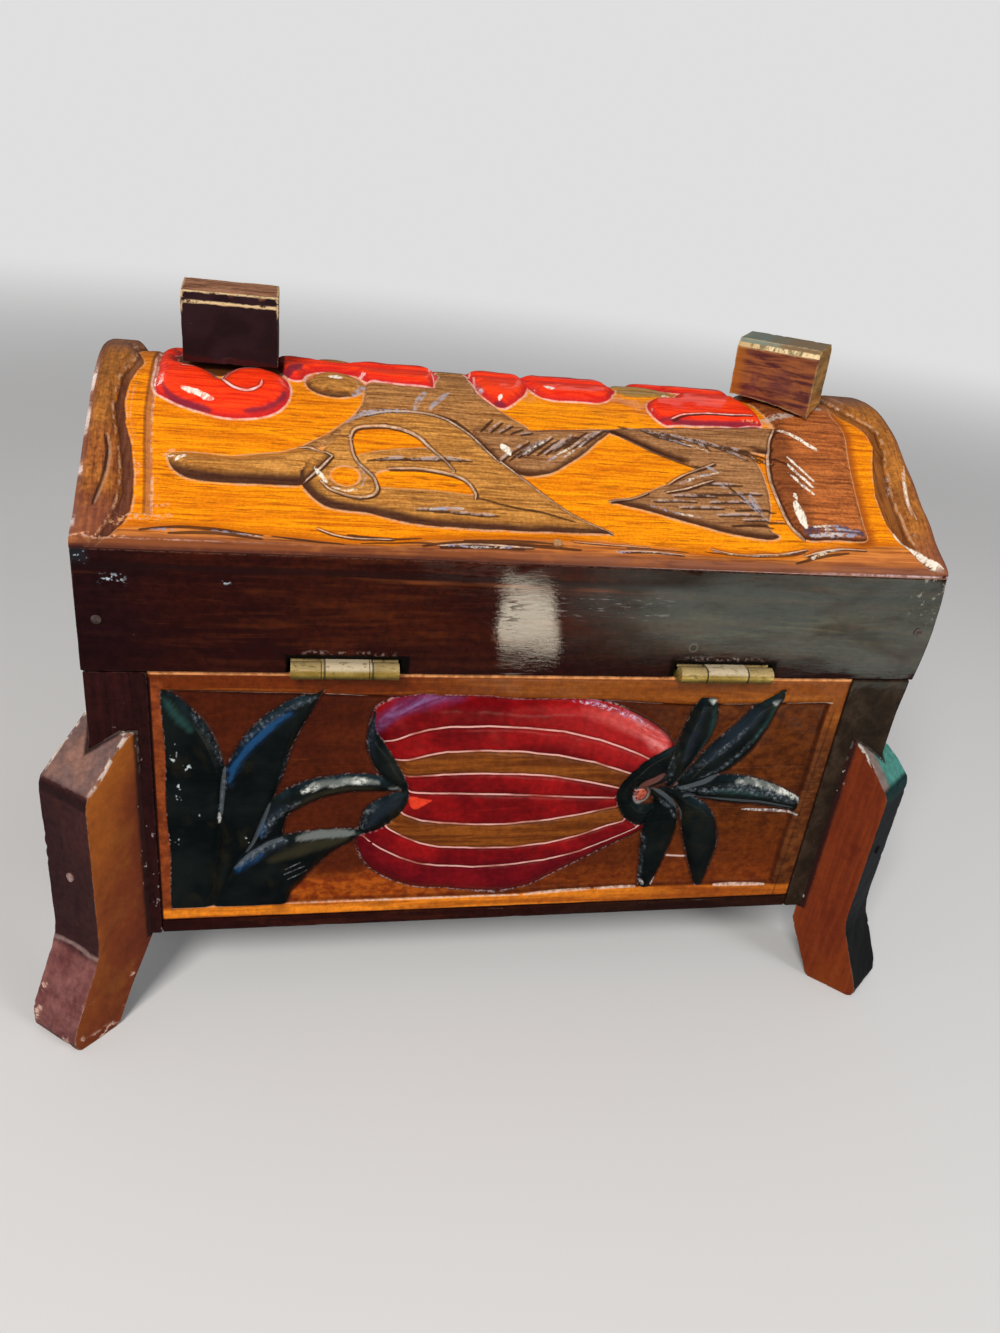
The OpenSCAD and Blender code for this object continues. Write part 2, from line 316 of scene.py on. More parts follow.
def d_stroke(A, B, pts, half, taper=0.5, smooth=True, n=5):
    """distance to an open stroke less its half width, which shrinks towards both ends"""
    poly = smooth_path(pts, False, n) if smooth and len(pts) > 2 else np.array(pts, float)
    out = np.full(A.shape, FAR)
    idx = _near(A, B, poly, 5.0)
    if len(idx) == 0:
        return out
    a, b = A[idx], B[idx]
    seg = np.sqrt(((poly[1:] - poly[:-1]) ** 2).sum(1))
    cum = np.concatenate([[0], np.cumsum(seg)])
    tot = cum[-1] + 1e-9
    best = np.full(a.shape, 1e9)
    bt = np.zeros(a.shape)
    for i in range(len(poly) - 1):
        (x0, y0), (x1, y1) = poly[i], poly[i + 1]
        dx, dy = x1 - x0, y1 - y0
        L2 = dx * dx + dy * dy + 1e-12
        t = np.clip(((a - x0) * dx + (b - y0) * dy) / L2, 0, 1)
        d = (a - x0 - t * dx) ** 2 + (b - y0 - t * dy) ** 2
        m = d < best
        best[m] = d[m]
        bt[m] = (cum[i] + t[m] * seg[i]) / tot
    w = half * (1 - taper + taper * np.sin(np.pi * np.clip(bt, 0.0, 1.0)) ** 0.6)
    out[idx] = np.minimum(np.sqrt(best) - w, FAR)
    return out


def signed_marks(A, B, items, taper=0.5):
    """signed distance to the nearest stroke (the sign tells its two sides) and the stroke's half width there"""
    best = np.full(A.shape, FAR ** 2)
    sign = np.ones(A.shape)
    wide = np.full(A.shape, 0.2)
    for pts, half in items:
        poly = smooth_path(pts, False, 5) if len(pts) > 2 else np.array(pts, float)
        idx = _near(A, B, poly, 4.0)
        if len(idx) == 0:
            continue
        a, b = A[idx], B[idx]
        seg = np.sqrt(((poly[1:] - poly[:-1]) ** 2).sum(1))
        cum = np.concatenate([[0], np.cumsum(seg)])
        for i in range(len(poly) - 1):
            (x0, y0), (x1, y1) = poly[i], poly[i + 1]
            dx, dy = x1 - x0, y1 - y0
            t = np.clip(((a - x0) * dx + (b - y0) * dy) / (dx * dx + dy * dy + 1e-12), 0, 1)
            d = (a - x0 - t * dx) ** 2 + (b - y0 - t * dy) ** 2
            m = d < best[idx]
            k = idx[m]
            best[k] = d[m]
            sign[k] = np.where(dx * (b[m] - y0) - dy * (a[m] - x0) >= 0, 1.0, -1.0)
            u = (cum[i] + t[m] * seg[i]) / (cum[-1] + 1e-9)
            wide[k] = half * (1 - taper + taper * np.sin(np.pi * np.clip(u, 0.0, 1.0)) ** 0.6)
    return sign * np.sqrt(best), wide


def soften(h):
    """takes the stair steps of the grid off thin cuts"""
    p = np.pad(h, 1, mode="edge")
    p = (p[:-2] + 2 * p[1:-1] + p[2:]) / 4
    return (p[:, :-2] + 2 * p[:, 1:-1] + p[:, 2:]) / 4


def sstep(x, lo, hi):
    t = np.clip((x - lo) / (hi - lo), 0, 1)
    return t * t * (3 - 2 * t)


def rise(d, width):
    """0 outside an outline, rounding up to 1 at width inside it"""
    t = np.clip(-d / width, 0, 1)
    return 1 - (1 - t) ** 2


def groove(d, width):
    """1 in the middle of a stroke, 0 at its border"""
    return np.clip(1 - np.clip(d / width + 1, 0, 1), 0, 1)


def wob(A, B, s, seed=0):
    """smooth deterministic wobble, about -1 to 1, with features of size s mm"""
    r = np.random.RandomState(seed)
    out = np.zeros(A.shape)
    for i in range(6):
        th = r.uniform(0, 2 * np.pi)
        f = 2 * np.pi / (s * r.uniform(0.7, 1.8))
        out += np.sin((A * np.cos(th) + B * np.sin(th)) * f + r.uniform(0, 6.28))
    return out / 3.0


# ------------------------------------------------------------------ relief of the panels
# a runs to the right as seen from outside at the back, b is the height over the seam (mm)
LEAF_MASS = [(-89, -5), (-83.9, -8.7), (-79.9, -13.7), (-77.4, -18.7), (-76, -23), (-74.9, -26.8),
             (-73.1, -23.4), (-69.9, -17.6), (-66, -13), (-61.7, -9.4), (-57.4, -6.9), (-52.8, -5.5), (-51.2, -3.9),
             (-53.1, -8.4), (-54.9, -12.3), (-57.1, -16.6), (-59.2, -22.3), (-60.6, -28), (-62.4, -33.7),
             (-63.1, -36.4), (-59.9, -33.7), (-54.6, -31.2), (-48.9, -30), (-43.1, -29.4), (-37.4, -29.8), (-33.1, -30.9),
             (-30.3, -33.7), (-33.1, -34.8), (-41.7, -34.8), (-47.4, -35.5), (-51.7, -36.9), (-56, -39.1), (-59.6, -41.8),
             (-60.5, -44.5), (-60.6, -47.9), (-56, -47.3), (-50.3, -46.7), (-45.3, -46.5), (-41.2, -46.8),
             (-41, -48.4), (-43.9, -51.2), (-47.4, -53.4), (-50.3, -56.2), (-53.5, -60.1), (-56, -63.7), (-58.5, -66.9),
             (-60.3, -70), (-70, -70), (-80, -70), (-89, -70), (-89, -50), (-89, -30), (-89, -15)]
# the single leaves that make the mass, for their rounded backs
LEAF_A = [(-89, -5), (-83.9, -8.7), (-79.9, -13.7), (-77.4, -18.7), (-76, -23), (-75, -27), (-75.6, -33), (-76, -40),
          (-77, -52), (-78, -62), (-80, -74), (-92, -74), (-92, -30)]
LEAF_B = [(-74.9, -27), (-73.1, -23.4), (-69.9, -17.6), (-66, -13), (-61.7, -9.4), (-57.4, -6.9), (-52.8, -5.5), (-51.2, -3.9),
          (-53.1, -8.4), (-54.9, -12.3), (-57.1, -16.6), (-59.2, -22.3), (-60.6, -28), (-62.6, -34.5), (-64.4, -39.5),
          (-66.4, -45), (-69, -51.5), (-73, -58.5), (-76, -66), (-78.5, -66), (-77.5, -52), (-76.2, -40), (-75.7, -33)]
PETAL_1 = [(-64.2, -38.5), (-62.6, -35.9), (-59.9, -33.7), (-54.6, -31.2), (-48.9, -30), (-43.1, -29.4), (-37.4, -29.8),
           (-33.1, -30.9), (-30.3, -33.7), (-33.1, -34.8), (-41.7, -34.8), (-47.4, -35.5), (-51.7, -36.9), (-56, -39.1),
           (-59.8, -42), (-60.6, -47.8), (-64.5, -50), (-69, -54), (-67.5, -49), (-65.9, -43.7)]
PETAL_2 = [(-72.8, -57.9), (-68.9, -53.4), (-65.3, -50.5), (-61.7, -48.6), (-56, -47.3), (-50.3, -46.7), (-45.3, -46.5),
           (-41.2, -46.8), (-41, -48.4), (-43.9, -51.2), (-47.4, -53.4), (-50.3, -56.2), (-53.5, -60.1), (-56, -63.7),
           (-58.5, -66.9), (-61, -73), (-79, -73), (-77, -65)]
CALYX_UP = [(-38.6, -10), (-39.9, -14.4), (-40.4, -20.1), (-39.2, -24.4), (-37.1, -28.7), (-34.4, -31.6), (-31.2, -34.2),
            (-29, -36.4), (-29.2, -33), (-30.3, -30.1), (-32.1, -26.6), (-34.6, -22.3), (-37, -18.6), (-38.6, -15.5)]
CALYX_LOW = [(-29, -34.6), (-29, -37.2), (-29.9, -40.1), (-32.1, -43), (-34.6, -45.5), (-38.1, -47.2), (-41.4, -48),
             (-40.7, -43.7), (-39.9, -40.5), (-37.4, -38), (-34.6, -36.3), (-31.7, -35)]
FRUIT = [(-38.9, -10.6), (-37, -8.9), (-33.9, -7.2), (-29.9, -6.1), (-24.6, -5.5), (-17.4, -5.4), (-8, -6.4), (0, -7.2), (10, -6.8),
         (15.8, -7), (21.7, -8.3), (26.7, -10.2), (31.7, -12.6), (36.7, -15.5), (40, -18.4), (42.1, -21.3), (41, -25),
         (38, -31), (36, -38), (37, -44), (38.2, -48.2), (36.7, -49.8), (31.7, -53), (25, -56.8), (18.3, -60.9), (12.5, -64.5),
         (7, -67.6), (0, -69), (-6, -69), (-10.3, -68.5), (-17.4, -67.4), (-23.9, -66.8), (-28.9, -65.4), (-33.1, -63.3),
         (-36.7, -60.8), (-39.6, -57.2), (-41.4, -52.3), (-41.2, -47.8), (-36, -44), (-32, -38), (-32, -30), (-36, -20), (-39.6, -14.5)]
# grooves along the fruit, top to bottom: height at each a
F_A = [-40, -35, -30, -25, -20, -10, 0, 10, 20, 27, 32, 36, 42]
F_LINES = [
    [-21.5, -19.1, -16.8, -15.3, -14.5, -14.3, -14.8, -15.8, -18.3, -20.8, -22.9, -24.9, -28.5],
    [-27, -25.4, -24.2, -23.0, -22.0, -21.5, -22.0, -23.2, -25.4, -27.8, -29.5, -31.0, -33.5],
    [-30.2, -29.8, -29.5, -29.2, -28.8, -28.6, -28.9, -29.8, -31.8, -33.5, -34.8, -35.4, -36.0],
    [-33.6, -33.9, -34.2, -34.5, -34.7, -35.0, -35.5, -36.1, -36.7, -37.0, -37.2, -37.4, -37.6],
    [-37.4, -39.2, -41.1, -43.2, -44.1, -44.9, -44.8, -43.8, -41.8, -40.3, -39.6, -39.2, -39.0],
    [-42.6, -45.0, -48.1, -50.6, -52.0, -52.7, -52.8, -51.8, -49.0, -46.2, -44.6, -43.4, -42.0],
    [-48.5, -52.3, -55.2, -57.3, -58.3, -59.1, -58.8, -57.6, -54.8, -51.8, -49.6, -47.5, -45.0]]
EYE_HOOK = [(42.3, -21.5), (38.3, -23), (34.2, -26.1), (30.2, -31), (28.2, -35.9), (29.2, -40.1), (32.1, -44.6), (36.7, -47.3),
            (38.6, -46.2), (39.6, -43), (39.8, -40.4), (36.5, -40.4), (33.6, -38.2), (33.3, -35), (35.4, -33), (38.6, -31.6),
            (41.6, -29), (42.6, -25.5)]
CURL = [(33.4, -35), (36.5, -31.6), (40.5, -29.6), (42.3, -25), (43, -21), (44.2, -24), (43.8, -29), (41.6, -32.6), (38.4, -34.2), (35.6, -34.6)]
LEAF_1 = [(42.5, -34.5), (42.8, -29.5), (43.2, -24), (43.6, -18.8), (44.8, -13), (46.3, -6.6), (48.8, -6.2), (51.4, -6.8), (52.9, -11.3),
          (52.9, -16.3), (50.8, -22.2), (48.3, -27.4), (45.6, -33)]
LEAF_2 = [(45.6, -34.4), (47.5, -30), (49.8, -26.4), (52.5, -22.2), (57.5, -16.3), (60.8, -12.2), (63.8, -7.9), (67, -5.6), (70.6, -3.4),
          (70.6, -7.2), (69.6, -11.3), (68.3, -16.3), (65.8, -22.2), (62.1, -27.2), (58.3, -30.1), (53.3, -31.9), (48.5, -34)]
LEAF_3 = [(44.5, -34.9), (51.7, -31.9), (57.5, -30.9), (63.3, -31.2), (70, -32.6), (75.8, -34.7), (80.8, -37.2), (84.4, -39.4),
          (84, -43.2), (78.3, -42.5), (71.7, -41.3), (63.3, -40.4), (57.5, -39.6), (51.7, -38)]
LEAF_4 = [(38.3, -35.2), (39.8, -39.7), (38.6, -44.7), (38.3, -49.7), (38.7, -54.7), (39.6, -61.3), (40.4, -68), (42.4, -70),
          (44.6, -67.8), (46.7, -59.7), (47.9, -53), (48.3, -47.2), (46.9, -41.3), (43.5, -37)]
LEAF_5 = [(40.5, -34.9), (45, -38), (47.8, -41.8), (49.2, -45.5), (51.2, -52.2), (53.7, -58.8), (56.2, -64.7), (58.4, -69.4), (60.6, -68.4),
          (61.8, -61.3), (62.2, -54.7), (60.8, -48.8), (58.3, -43.8), (55, -40.3), (50, -37.4), (45, -35.3)]


def marks(A, B, items, taper=0.6):
    """distance to the nearest of several strokes, each given as (points, half width)"""
    out = np.full(A.shape, FAR)
    for pts, half in items:
        out = np.minimum(out, d_stroke(A, B, pts, half, taper))
    return out


# paint strokes, worn spots and painted light on the panel, all as strokes in the panel's own coordinates: P_TEAL and
# P_BLUE are painted reflections on the leaves, P_GREY and P_BRIGHT painted highlights, P_SPECK painted glints, P_PURPLE
# a painted reflection and P_PINK and P_ROSE painted highlights on the fruit
P_TEAL = [([(-88, -7.5), (-86, -11), (-82.8, -15.4)], 0.9),
          ([(51.4, -8.6), (51.8, -14.5), (50.8, -20.4), (49, -25)], 0.7), ([(56, -35.4), (63, -35.6), (72, -37.2)], 0.5),
          ([(69.2, -7), (67.4, -13), (64.4, -19)], 0.6), ([(-39.8, -48.2), (-42, -48.0)], 0.4)]
P_BLUE = [([(-59.4, -10.8), (-63.6, -14.2), (-67.4, -18.1), (-70.8, -22.9), (-73.2, -27.6), (-73.9, -31)], 0.8),
          ([(-65.2, -44.2), (-66.6, -48)], 0.35), ([(-66.4, -53.0), (-69.4, -55.6), (-72.2, -58.4)], 0.5)]
P_NAVY = [([(64.6, -10), (60.6, -15.4), (56.4, -21), (52, -26)], 1.7), ([(-60.6, -38.2), (-63.6, -41.4), (-66.2, -45.6)], 1.2), ([(-61, -49.6), (-66, -52), (-70, -55.6)], 1.2),
          ([(-31, -37.4), (-35.4, -39.6), (-39, -44.6)], 1.4), ([(-38.9, -12.4), (-39.6, -18), (-38.6, -24)], 0.6), ([(48, -9), (47, -16), (45.4, -25)], 0.6)]
P_GREY = [([(-82.4, -11.6), (-80.9, -13.6), (-78.5, -18), (-76.6, -22.5), (-75.1, -26.6)], 0.42),
          ([(-75, -26.4), (-75.1, -32), (-76, -37.5), (-76.5, -43)], 0.38),
          ([(-51.6, -6.3), (-56.9, -8.2), (-62.1, -11.4), (-66.7, -15.2), (-70.9, -19.8), (-73.6, -24.6)], 0.38),
          ([(-56.4, -17.3), (-59.1, -22.6), (-60.6, -27.4), (-62, -33)], 0.45),
          ([(-56.8, -36.6), (-61, -39.8), (-64.2, -43.6), (-66, -48)], 0.9), ([(-60, -49.2), (-66, -52), (-71.4, -57.2)], 0.5),
          ([(-36.5, -38.4), (-39.4, -41.6), (-40.6, -45.6)], 0.6), ([(-38.8, -13.4), (-39.8, -18), (-40.1, -22.8), (-38.8, -27.4), (-35.8, -31)], 0.25),
          ([(-32.6, -24), (-30.4, -29), (-29, -33)], 0.2), ([(53, -9), (53, -14), (51.6, -20), (49, -25.4)], 0.45),
          ([(50.6, -31.6), (57, -27.6), (62.4, -21.6), (65.6, -16)], 0.45), ([(46.5, -31.4), (52, -26), (57.6, -19.6)], 0.35),
          ([(42.4, -25), (42.9, -29.5), (41.6, -32.8), (38.4, -34)], 0.65), ([(56.6, -41.2), (60.6, -46.6), (62, -54.4), (61.4, -62)], 0.45),
          ([(46, -35), (50.6, -37), (54.6, -40.6)], 0.4), ([(40.8, -38), (44.6, -40.6), (47, -44.6)], 0.35),
          ([(47, -34.9), (60, -35), (74, -36.8)], 0.4), ([(53, -35.6), (62, -34.4), (72, -36.2), (82, -39.6)], 1.3), ([(54.6, -24), (58.6, -19.4), (61.6, -15)], 0.4), ([(38.9, -50), (39.4, -58), (40.4, -66)], 0.3), ([(-41.6, -49.6), (-46.2, -54), (-52.2, -58.6)], 0.35)]
P_BRIGHT = [([(-37, -31.5), (-41, -30.9), (-46.5, -31), (-51.6, -31.9), (-56, -33.8)], 0.6), ([(-45.4, -31.1), (-48.2, -31.3), (-51, -31.8)], 0.75), ([(-42.5, -47.6), (-47.4, -47.4), (-52.7, -47.8), (-57.2, -48.8)], 0.7), ([(-46.6, -47.7), (-50, -47.8), (-53.4, -48.1)], 0.55),
            ([(62.6, -32.6), (68, -33), (74, -34.6), (80, -37), (83.8, -39.4)], 0.7), ([(49.6, -7), (51.9, -7.3)], 0.5), ([(67.8, -7.2), (69.8, -6.8)], 0.5),
            ([(-34, -33.2), (-31.4, -33.8)], 0.5)]
P_OLIVE = [([(-38, -33.4), (-46, -33.4), (-52.6, -35.2), (-58.4, -39.4)], 0.9), ([(-44.5, -48.9), (-51.4, -50.2), (-57.3, -52.2), (-64, -55)], 1.7)]
P_WHITE = [([(-76.6, -40.4), (-76.5, -43.4)], 0.3), ([(-60.2, -58.2), (-56.2, -55.8)], 0.05), ([(-60.4, -59.8), (-55, -57)], 0.05), ([(-59.5, -61.4), (-54.2, -58.6)], 0.05),
           ([(40.6, -66.4), (41.4, -68.2)], 0.5), ([(45, -66.6), (44.4, -68.6)], 0.4), ([(67.4, -43), (76.4, -43.6), (84.6, -44.4)], 0.35)]
P_SPECK = [([(-87.1, -18), (-87, -24)], 1.0), ([(-84.2, -24.8), (-84, -28)], 1.3), ([(-85.6, -31), (-85.2, -37)], 1.2), ([(-82.2, -39), (-82, -42)], 0.9),
           ([(-87.4, -42), (-88, -52)], 1.3), ([(-70, -47.4), (-68.6, -50)], 0.6)]
P_PURPLE = [([(-39.2, -19.4), (-38, -15.2), (-35, -11.4), (-30.4, -8.6), (-24, -6.8), (-17, -6.2)], 2.4)]
P_PINK = [([(12, -7.4), (18.5, -8.5), (24.5, -10.4), (30.4, -12.9), (35, -15.6)], 0.6)]
P_ROSE = [([(14, -9.6), (22, -11.8), (29, -14.2), (35, -17.6), (39.6, -22.2)], 2.8), ([(33.6, -16.6), (37.6, -19.6), (39.8, -22.4)], 3.4), ([(-4, -9.6), (8, -9.6), (18, -10.8)], 0.8)]
P_LINE = [([(-51, -5.6), (-46, -5.9), (-40.6, -6.6)], 0.12), ([(-88, -5.2), (-74, -5.4), (-53, -5.6)], 0.02), ([(20, -7.4), (30, -8.2), (36.4, -8.4)], 0.2),
          ([(53.4, -8.2), (60, -8.3), (66, -8.1)], 0.25), ([(72.2, -7.9), (80, -7.6), (85.4, -7.4)], 0.25), ([(6, -70.2), (17, -69.6), (26, -69.2)], 0.2),
          ([(27, -69.2), (36, -69), (39.6, -69.1)], 0.15), ([(64, -69.5), (73, -69.6), (80.6, -69.9)], 0.3), ([(-60, -70.1), (-30, -70.2), (5, -70.3)], 0.1),
          ([(-89, -70.2), (-75, -70.1), (-61, -70)], 0.08)]


def panel_design(A, B, edge_l, edge_r):
    """heights and masks of the carved panel; A and B in mm, edges are the panel's own ends"""
    out = {}
    # wobbly groove rectangle between rim and field
    g_l = -88.9 + 0.25 * np.sin(B * 0.21)
    g_r = 84.9 + (B + 5) * 0.035 + 0.25 * np.sin(B * 0.17 + 1)
    g_t = np.interp(A, [-90, -60, -31, 0, 20, 43, 70, 90], [-4.8, -5.6, -6.2, -6.6, -6.8, -8.2, -7.6, -7.3])
    g_b = np.interp(A, [-90, -60, 0, 30, 70, 90], [-70.1, -69.9, -70.1, -69.0, -69.4, -69.8])
    rect = np.maximum.reduce([g_l - A, A - g_r, B - g_t, g_b - B])   # negative inside the field
    fruit = sd_poly(A, B, FRUIT)
    mass = sd_poly(A, B, LEAF_MASS, n=4)
    calyx = np.minimum(sd_poly(A, B, CALYX_UP), sd_poly(A, B, CALYX_LOW))
    hook = np.minimum(sd_poly(A, B, EYE_HOOK), sd_poly(A, B, CURL))
    eye = sd_ellipse(A, B, 35.8, -37.0, 1.8, 2.2)
    wedge = sd_poly(A, B, [(35.2, -35.2), (37, -33.2), (39.6, -31.9), (41.4, -29.6), (39.4, -30.4), (36.4, -31.6), (34.4, -34)])
    right = [sd_poly(A, B, p) for p in (LEAF_1, LEAF_2, LEAF_3, LEAF_4, LEAF_5)]
    rleaf = np.minimum.reduce(right)
    dark = np.minimum.reduce([mass, calyx, hook, rleaf])
    # leaf tips may run over the top rim a little, nothing runs over the other sides
    clip = np.maximum.reduce([g_l - A, A - g_r, g_b - B, B + 3.2])
    dark = np.maximum(dark, clip)
    fruit = np.maximum(fruit, rect - 0.4)
    # the fruit's grooves
    lines = [np.interp(A, F_A, l) for l in F_LINES]
    edges = [np.full(A.shape, 3.0)] + lines + [np.full(A.shape, -75.0)]
    band = np.zeros(A.shape)
    for i in range(len(edges) - 1):
        t = (edges[i] - B) / np.maximum(edges[i] - edges[i + 1], 0.2)
        band = np.where((t >= 0) & (t < 1), i + t, band)
    dl = np.minimum.reduce([np.abs(B - l) for l in lines])
    # the sixth and seventh grooves stop short of the left end
    dl = np.where((A < -38) & (B < -50), 5.0, dl)
    gaps = np.stack([B - l for l in lines])
    fl_signed = np.take_along_axis(gaps, np.argmin(np.abs(gaps), 0)[None], 0)[0]
    # heights: rim 0, field cut back
    field = -1.35 + 0.1 * wob(A, B, 14, 3) + 0.04 * wob(A, B, 5, 4)
    h = np.where(rect < 0, field * sstep(-rect, 0.0, 0.8), 0.0)
    h -= 0.45 * np.clip(1 - np.abs(rect + 0.25) / 0.6, 0, 1)
    # fruit: rounded, each band slightly pillowed
    bulge = rise(fruit, 4.6)
    pillow = 0.34 * np.clip(1 - dl / 1.2, 0, 1) ** 1.5
    hf = field + 0.1 + 2.0 * bulge - pillow * (fruit < -0.6)
    h = np.where(fruit < 0, hf, h)
    # foliage
    each = [(p, 2.6, 1.75) for p in (LEAF_A, LEAF_B, PETAL_1)] + [(PETAL_2, 3.2, 1.9)]
    hl = np.full(A.shape, -9.0)
    for p, w, top in each:
        d = sd_poly(A, B, p)
        hl = np.where(d < 0, np.maximum(hl, field + 0.1 + top * rise(d, w)), hl)
    for d, w, top in [(sd_poly(A, B, CALYX_UP), 1.8, 1.6), (sd_poly(A, B, CALYX_LOW), 1.9, 1.7), (sd_poly(A, B, EYE_HOOK), 2.0, 1.7),
                      (sd_poly(A, B, CURL), 1.2, 1.8)] + [(d, 2.4, 1.75) for d in right]:
        hl = np.where(d < 0, np.maximum(hl, field + 0.1 + top * rise(d, w)), hl)
    h = np.where((dark < 0) & (hl > -8), hl, h)
    h = np.where((dark < 0) & (hl <= -8), field + 0.3, h)
    h = np.where(eye < 0, field + 0.2 + 0.9 * rise(eye, 1.5), h)
    # leaves' carved steps and knife cuts
    cuts = [d_stroke(A, B, [(-75, -27), (-75.6, -33), (-76.1, -41)], 0.45, 0.7),
            d_stroke(A, B, [(-64.2, -38), (-66, -43.7), (-68.3, -50), (-70, -53)], 0.45, 0.6),
            d_stroke(A, B, [(-73, -58.2), (-68.9, -53.8), (-65.3, -50.9), (-61, -48.8)], 0.45, 0.5),
            d_stroke(A, B, [(38.3, -34.6), (43, -37.5), (48, -42.5), (49, -46)], 0.4, 0.5),
            d_stroke(A, B, [(46.5, -34.6), (53, -32.6), (59, -29.6)], 0.4, 0.5),
            d_stroke(A, B, [(48, -37.4), (60, -38.2), (72, -39.6), (82, -41.6)], 0.35, 0.6),
            d_stroke(A, B, [(44.2, -33.6), (47, -29), (50, -23.6)], 0.35, 0.5)]
    cut = np.minimum.reduce(cuts)
    h = h - 0.4 * groove(cut, 0.6) * (dark < 0.3)
    # shallow channel round every motif
    motif = np.minimum(fruit, dark)
    h = h - 0.22 * np.exp(-(np.clip(motif, 0, 9) / 0.9) ** 2) * (motif > 0) * (rect < -0.5)
    # rounded outer border of the board
    bd = np.minimum.reduce([A - edge_l, edge_r - A, -0.0 - B, B + 74.4])
    h = h - 0.5 * np.clip(1 - bd / 0.8, 0, 1) ** 2
    h = h + 0.03 * wob(A, B, 9, 11)
    out["h"] = h
    out["rect"] = rect
    out["fruit"] = fruit
    out["dark"] = dark
    out["band"] = band
    out["fline"] = np.minimum(dl, 5.0)
    out["fls"] = np.clip(fl_signed, -5.0, 5.0)
    out["cut"] = np.minimum(cut, 5.0)
    out["eye"] = eye
    out["wedge"] = np.minimum(wedge, 5.0)
    out["bd"] = np.clip(bd, -1, 6)
    out["pa"] = A
    out["pb"] = B
    out["patch"] = np.minimum(sd_poly(A, B, [(-28.4, -35.6), (-25, -36.2), (-22.6, -36.8), (-24.4, -38), (-27, -39.4), (-28.6, -38)]), 5.0)
    for key, items in (("teal", P_TEAL), ("blue", P_BLUE), ("grey", P_GREY), ("bright", P_BRIGHT), ("olive", P_OLIVE), ("white", P_WHITE),
                       ("speck", P_SPECK), ("navy", P_NAVY), ("purple", P_PURPLE), ("pink", P_PINK), ("rose", P_ROSE), ("line", P_LINE)):
        out[key] = np.minimum(marks(A, B, items), 5.0)
    return out


# ------------------------------------------------------------------ mesh builders
def add_attr(me, name, values):
    at = me.attributes.new(name, "FLOAT", "POINT")
    at.data.foreach_set("value", np.asarray(values, np.float32))


def link_mesh(name, verts, faces, smooth=True):
    me = bpy.data.meshes.new(name)
    me.from_pydata([tuple(v) for v in verts], [], faces)
    me.update()
    if smooth:
        me.polygons.foreach_set("use_smooth", [True] * len(me.polygons))
    ob = bpy.data.objects.new(name, me)
    bpy.context.scene.collection.objects.link(ob)
    return ob


def grid_solid(name, top, bottom_l, bottom_r, attrs, ring_attr):
    """a closed solid: a dense top grid of shape (ni, nj, 3), and under it an inner grid of two columns.
    bottom_l, bottom_r are (nj, 3): the points under the first and the last row of the top."""
    ni, nj = top.shape[:2]
    verts = np.concatenate([top.reshape(-1, 3), bottom_l, bottom_r])
    base = ni * nj
    faces = []
    ii, jj = np.meshgrid(np.arange(ni - 1), np.arange(nj - 1), indexing="ij")
    q = np.stack([ii * nj + jj, (ii + 1) * nj + jj, (ii + 1) * nj + jj + 1, ii * nj + jj + 1], -1).reshape(-1, 4)
    faces = q.tolist()
    L = [base + j for j in range(nj)]
    R = [base + nj + j for j in range(nj)]
    T0 = [j for j in range(nj)]
    T1 = [(ni - 1) * nj + j for j in range(nj)]
    for j in range(nj - 1):
        faces.append([T0[j], T0[j + 1], L[j + 1], L[j]])
        faces.append([T1[j + 1], T1[j], R[j], R[j + 1]])
        faces.append([L[j], L[j + 1], R[j + 1], R[j]])
    faces.append([i * nj for i in range(ni - 1, -1, -1)] + [L[0], R[0]])
    faces.append([i * nj + nj - 1 for i in range(ni)] + [R[-1], L[-1]])
    ob = link_mesh(name, verts, faces)
    me = ob.data
    for k, v in attrs.items():
        add_attr(me, k, np.concatenate([v.reshape(-1), np.full(2 * nj, ring_attr.get(k, FAR))]))
    # the sides stay flat shaded
    flags = np.ones(len(me.polygons), bool)
    flags[len(q):] = False
    me.polygons.foreach_set("use_smooth", flags)
    sharp = me.attributes.new("sharp_edge", "BOOLEAN", "EDGE")
    ev = np.zeros(len(me.edges) * 2, np.int32)
    me.edges.foreach_get("vertices", ev)
    ev = ev.reshape(-1, 2)
    onb = np.zeros(len(verts), bool)
    onb[T0] = onb[T1] = True
    onb[[i * nj for i in range(ni)]] = True
    onb[[i * nj + nj - 1 for i in range(ni)]] = True
    onb[base:] = True
    s = onb[ev[:, 0]] & onb[ev[:, 1]]
    sharp.data.foreach_set("value", s)
    # a plain UV map: the grid fills nearly all of it
    uv = me.uv_layers.new(name="OFBake")
    lv = np.zeros(len(me.loops), np.int32)
    me.loops.foreach_get("vertex_index", lv)
    gu = np.zeros((len(verts), 2))
    gi, gj = np.meshgrid(np.linspace(0.03, 0.97, ni), np.linspace(0.08, 0.97, nj), indexing="ij")
    gu[:base] = np.stack([gi, gj], -1).reshape(-1, 2)
    nloop_grid = len(q) * 4
    luv = gu[lv]
    return ob, luv, lv, nloop_grid


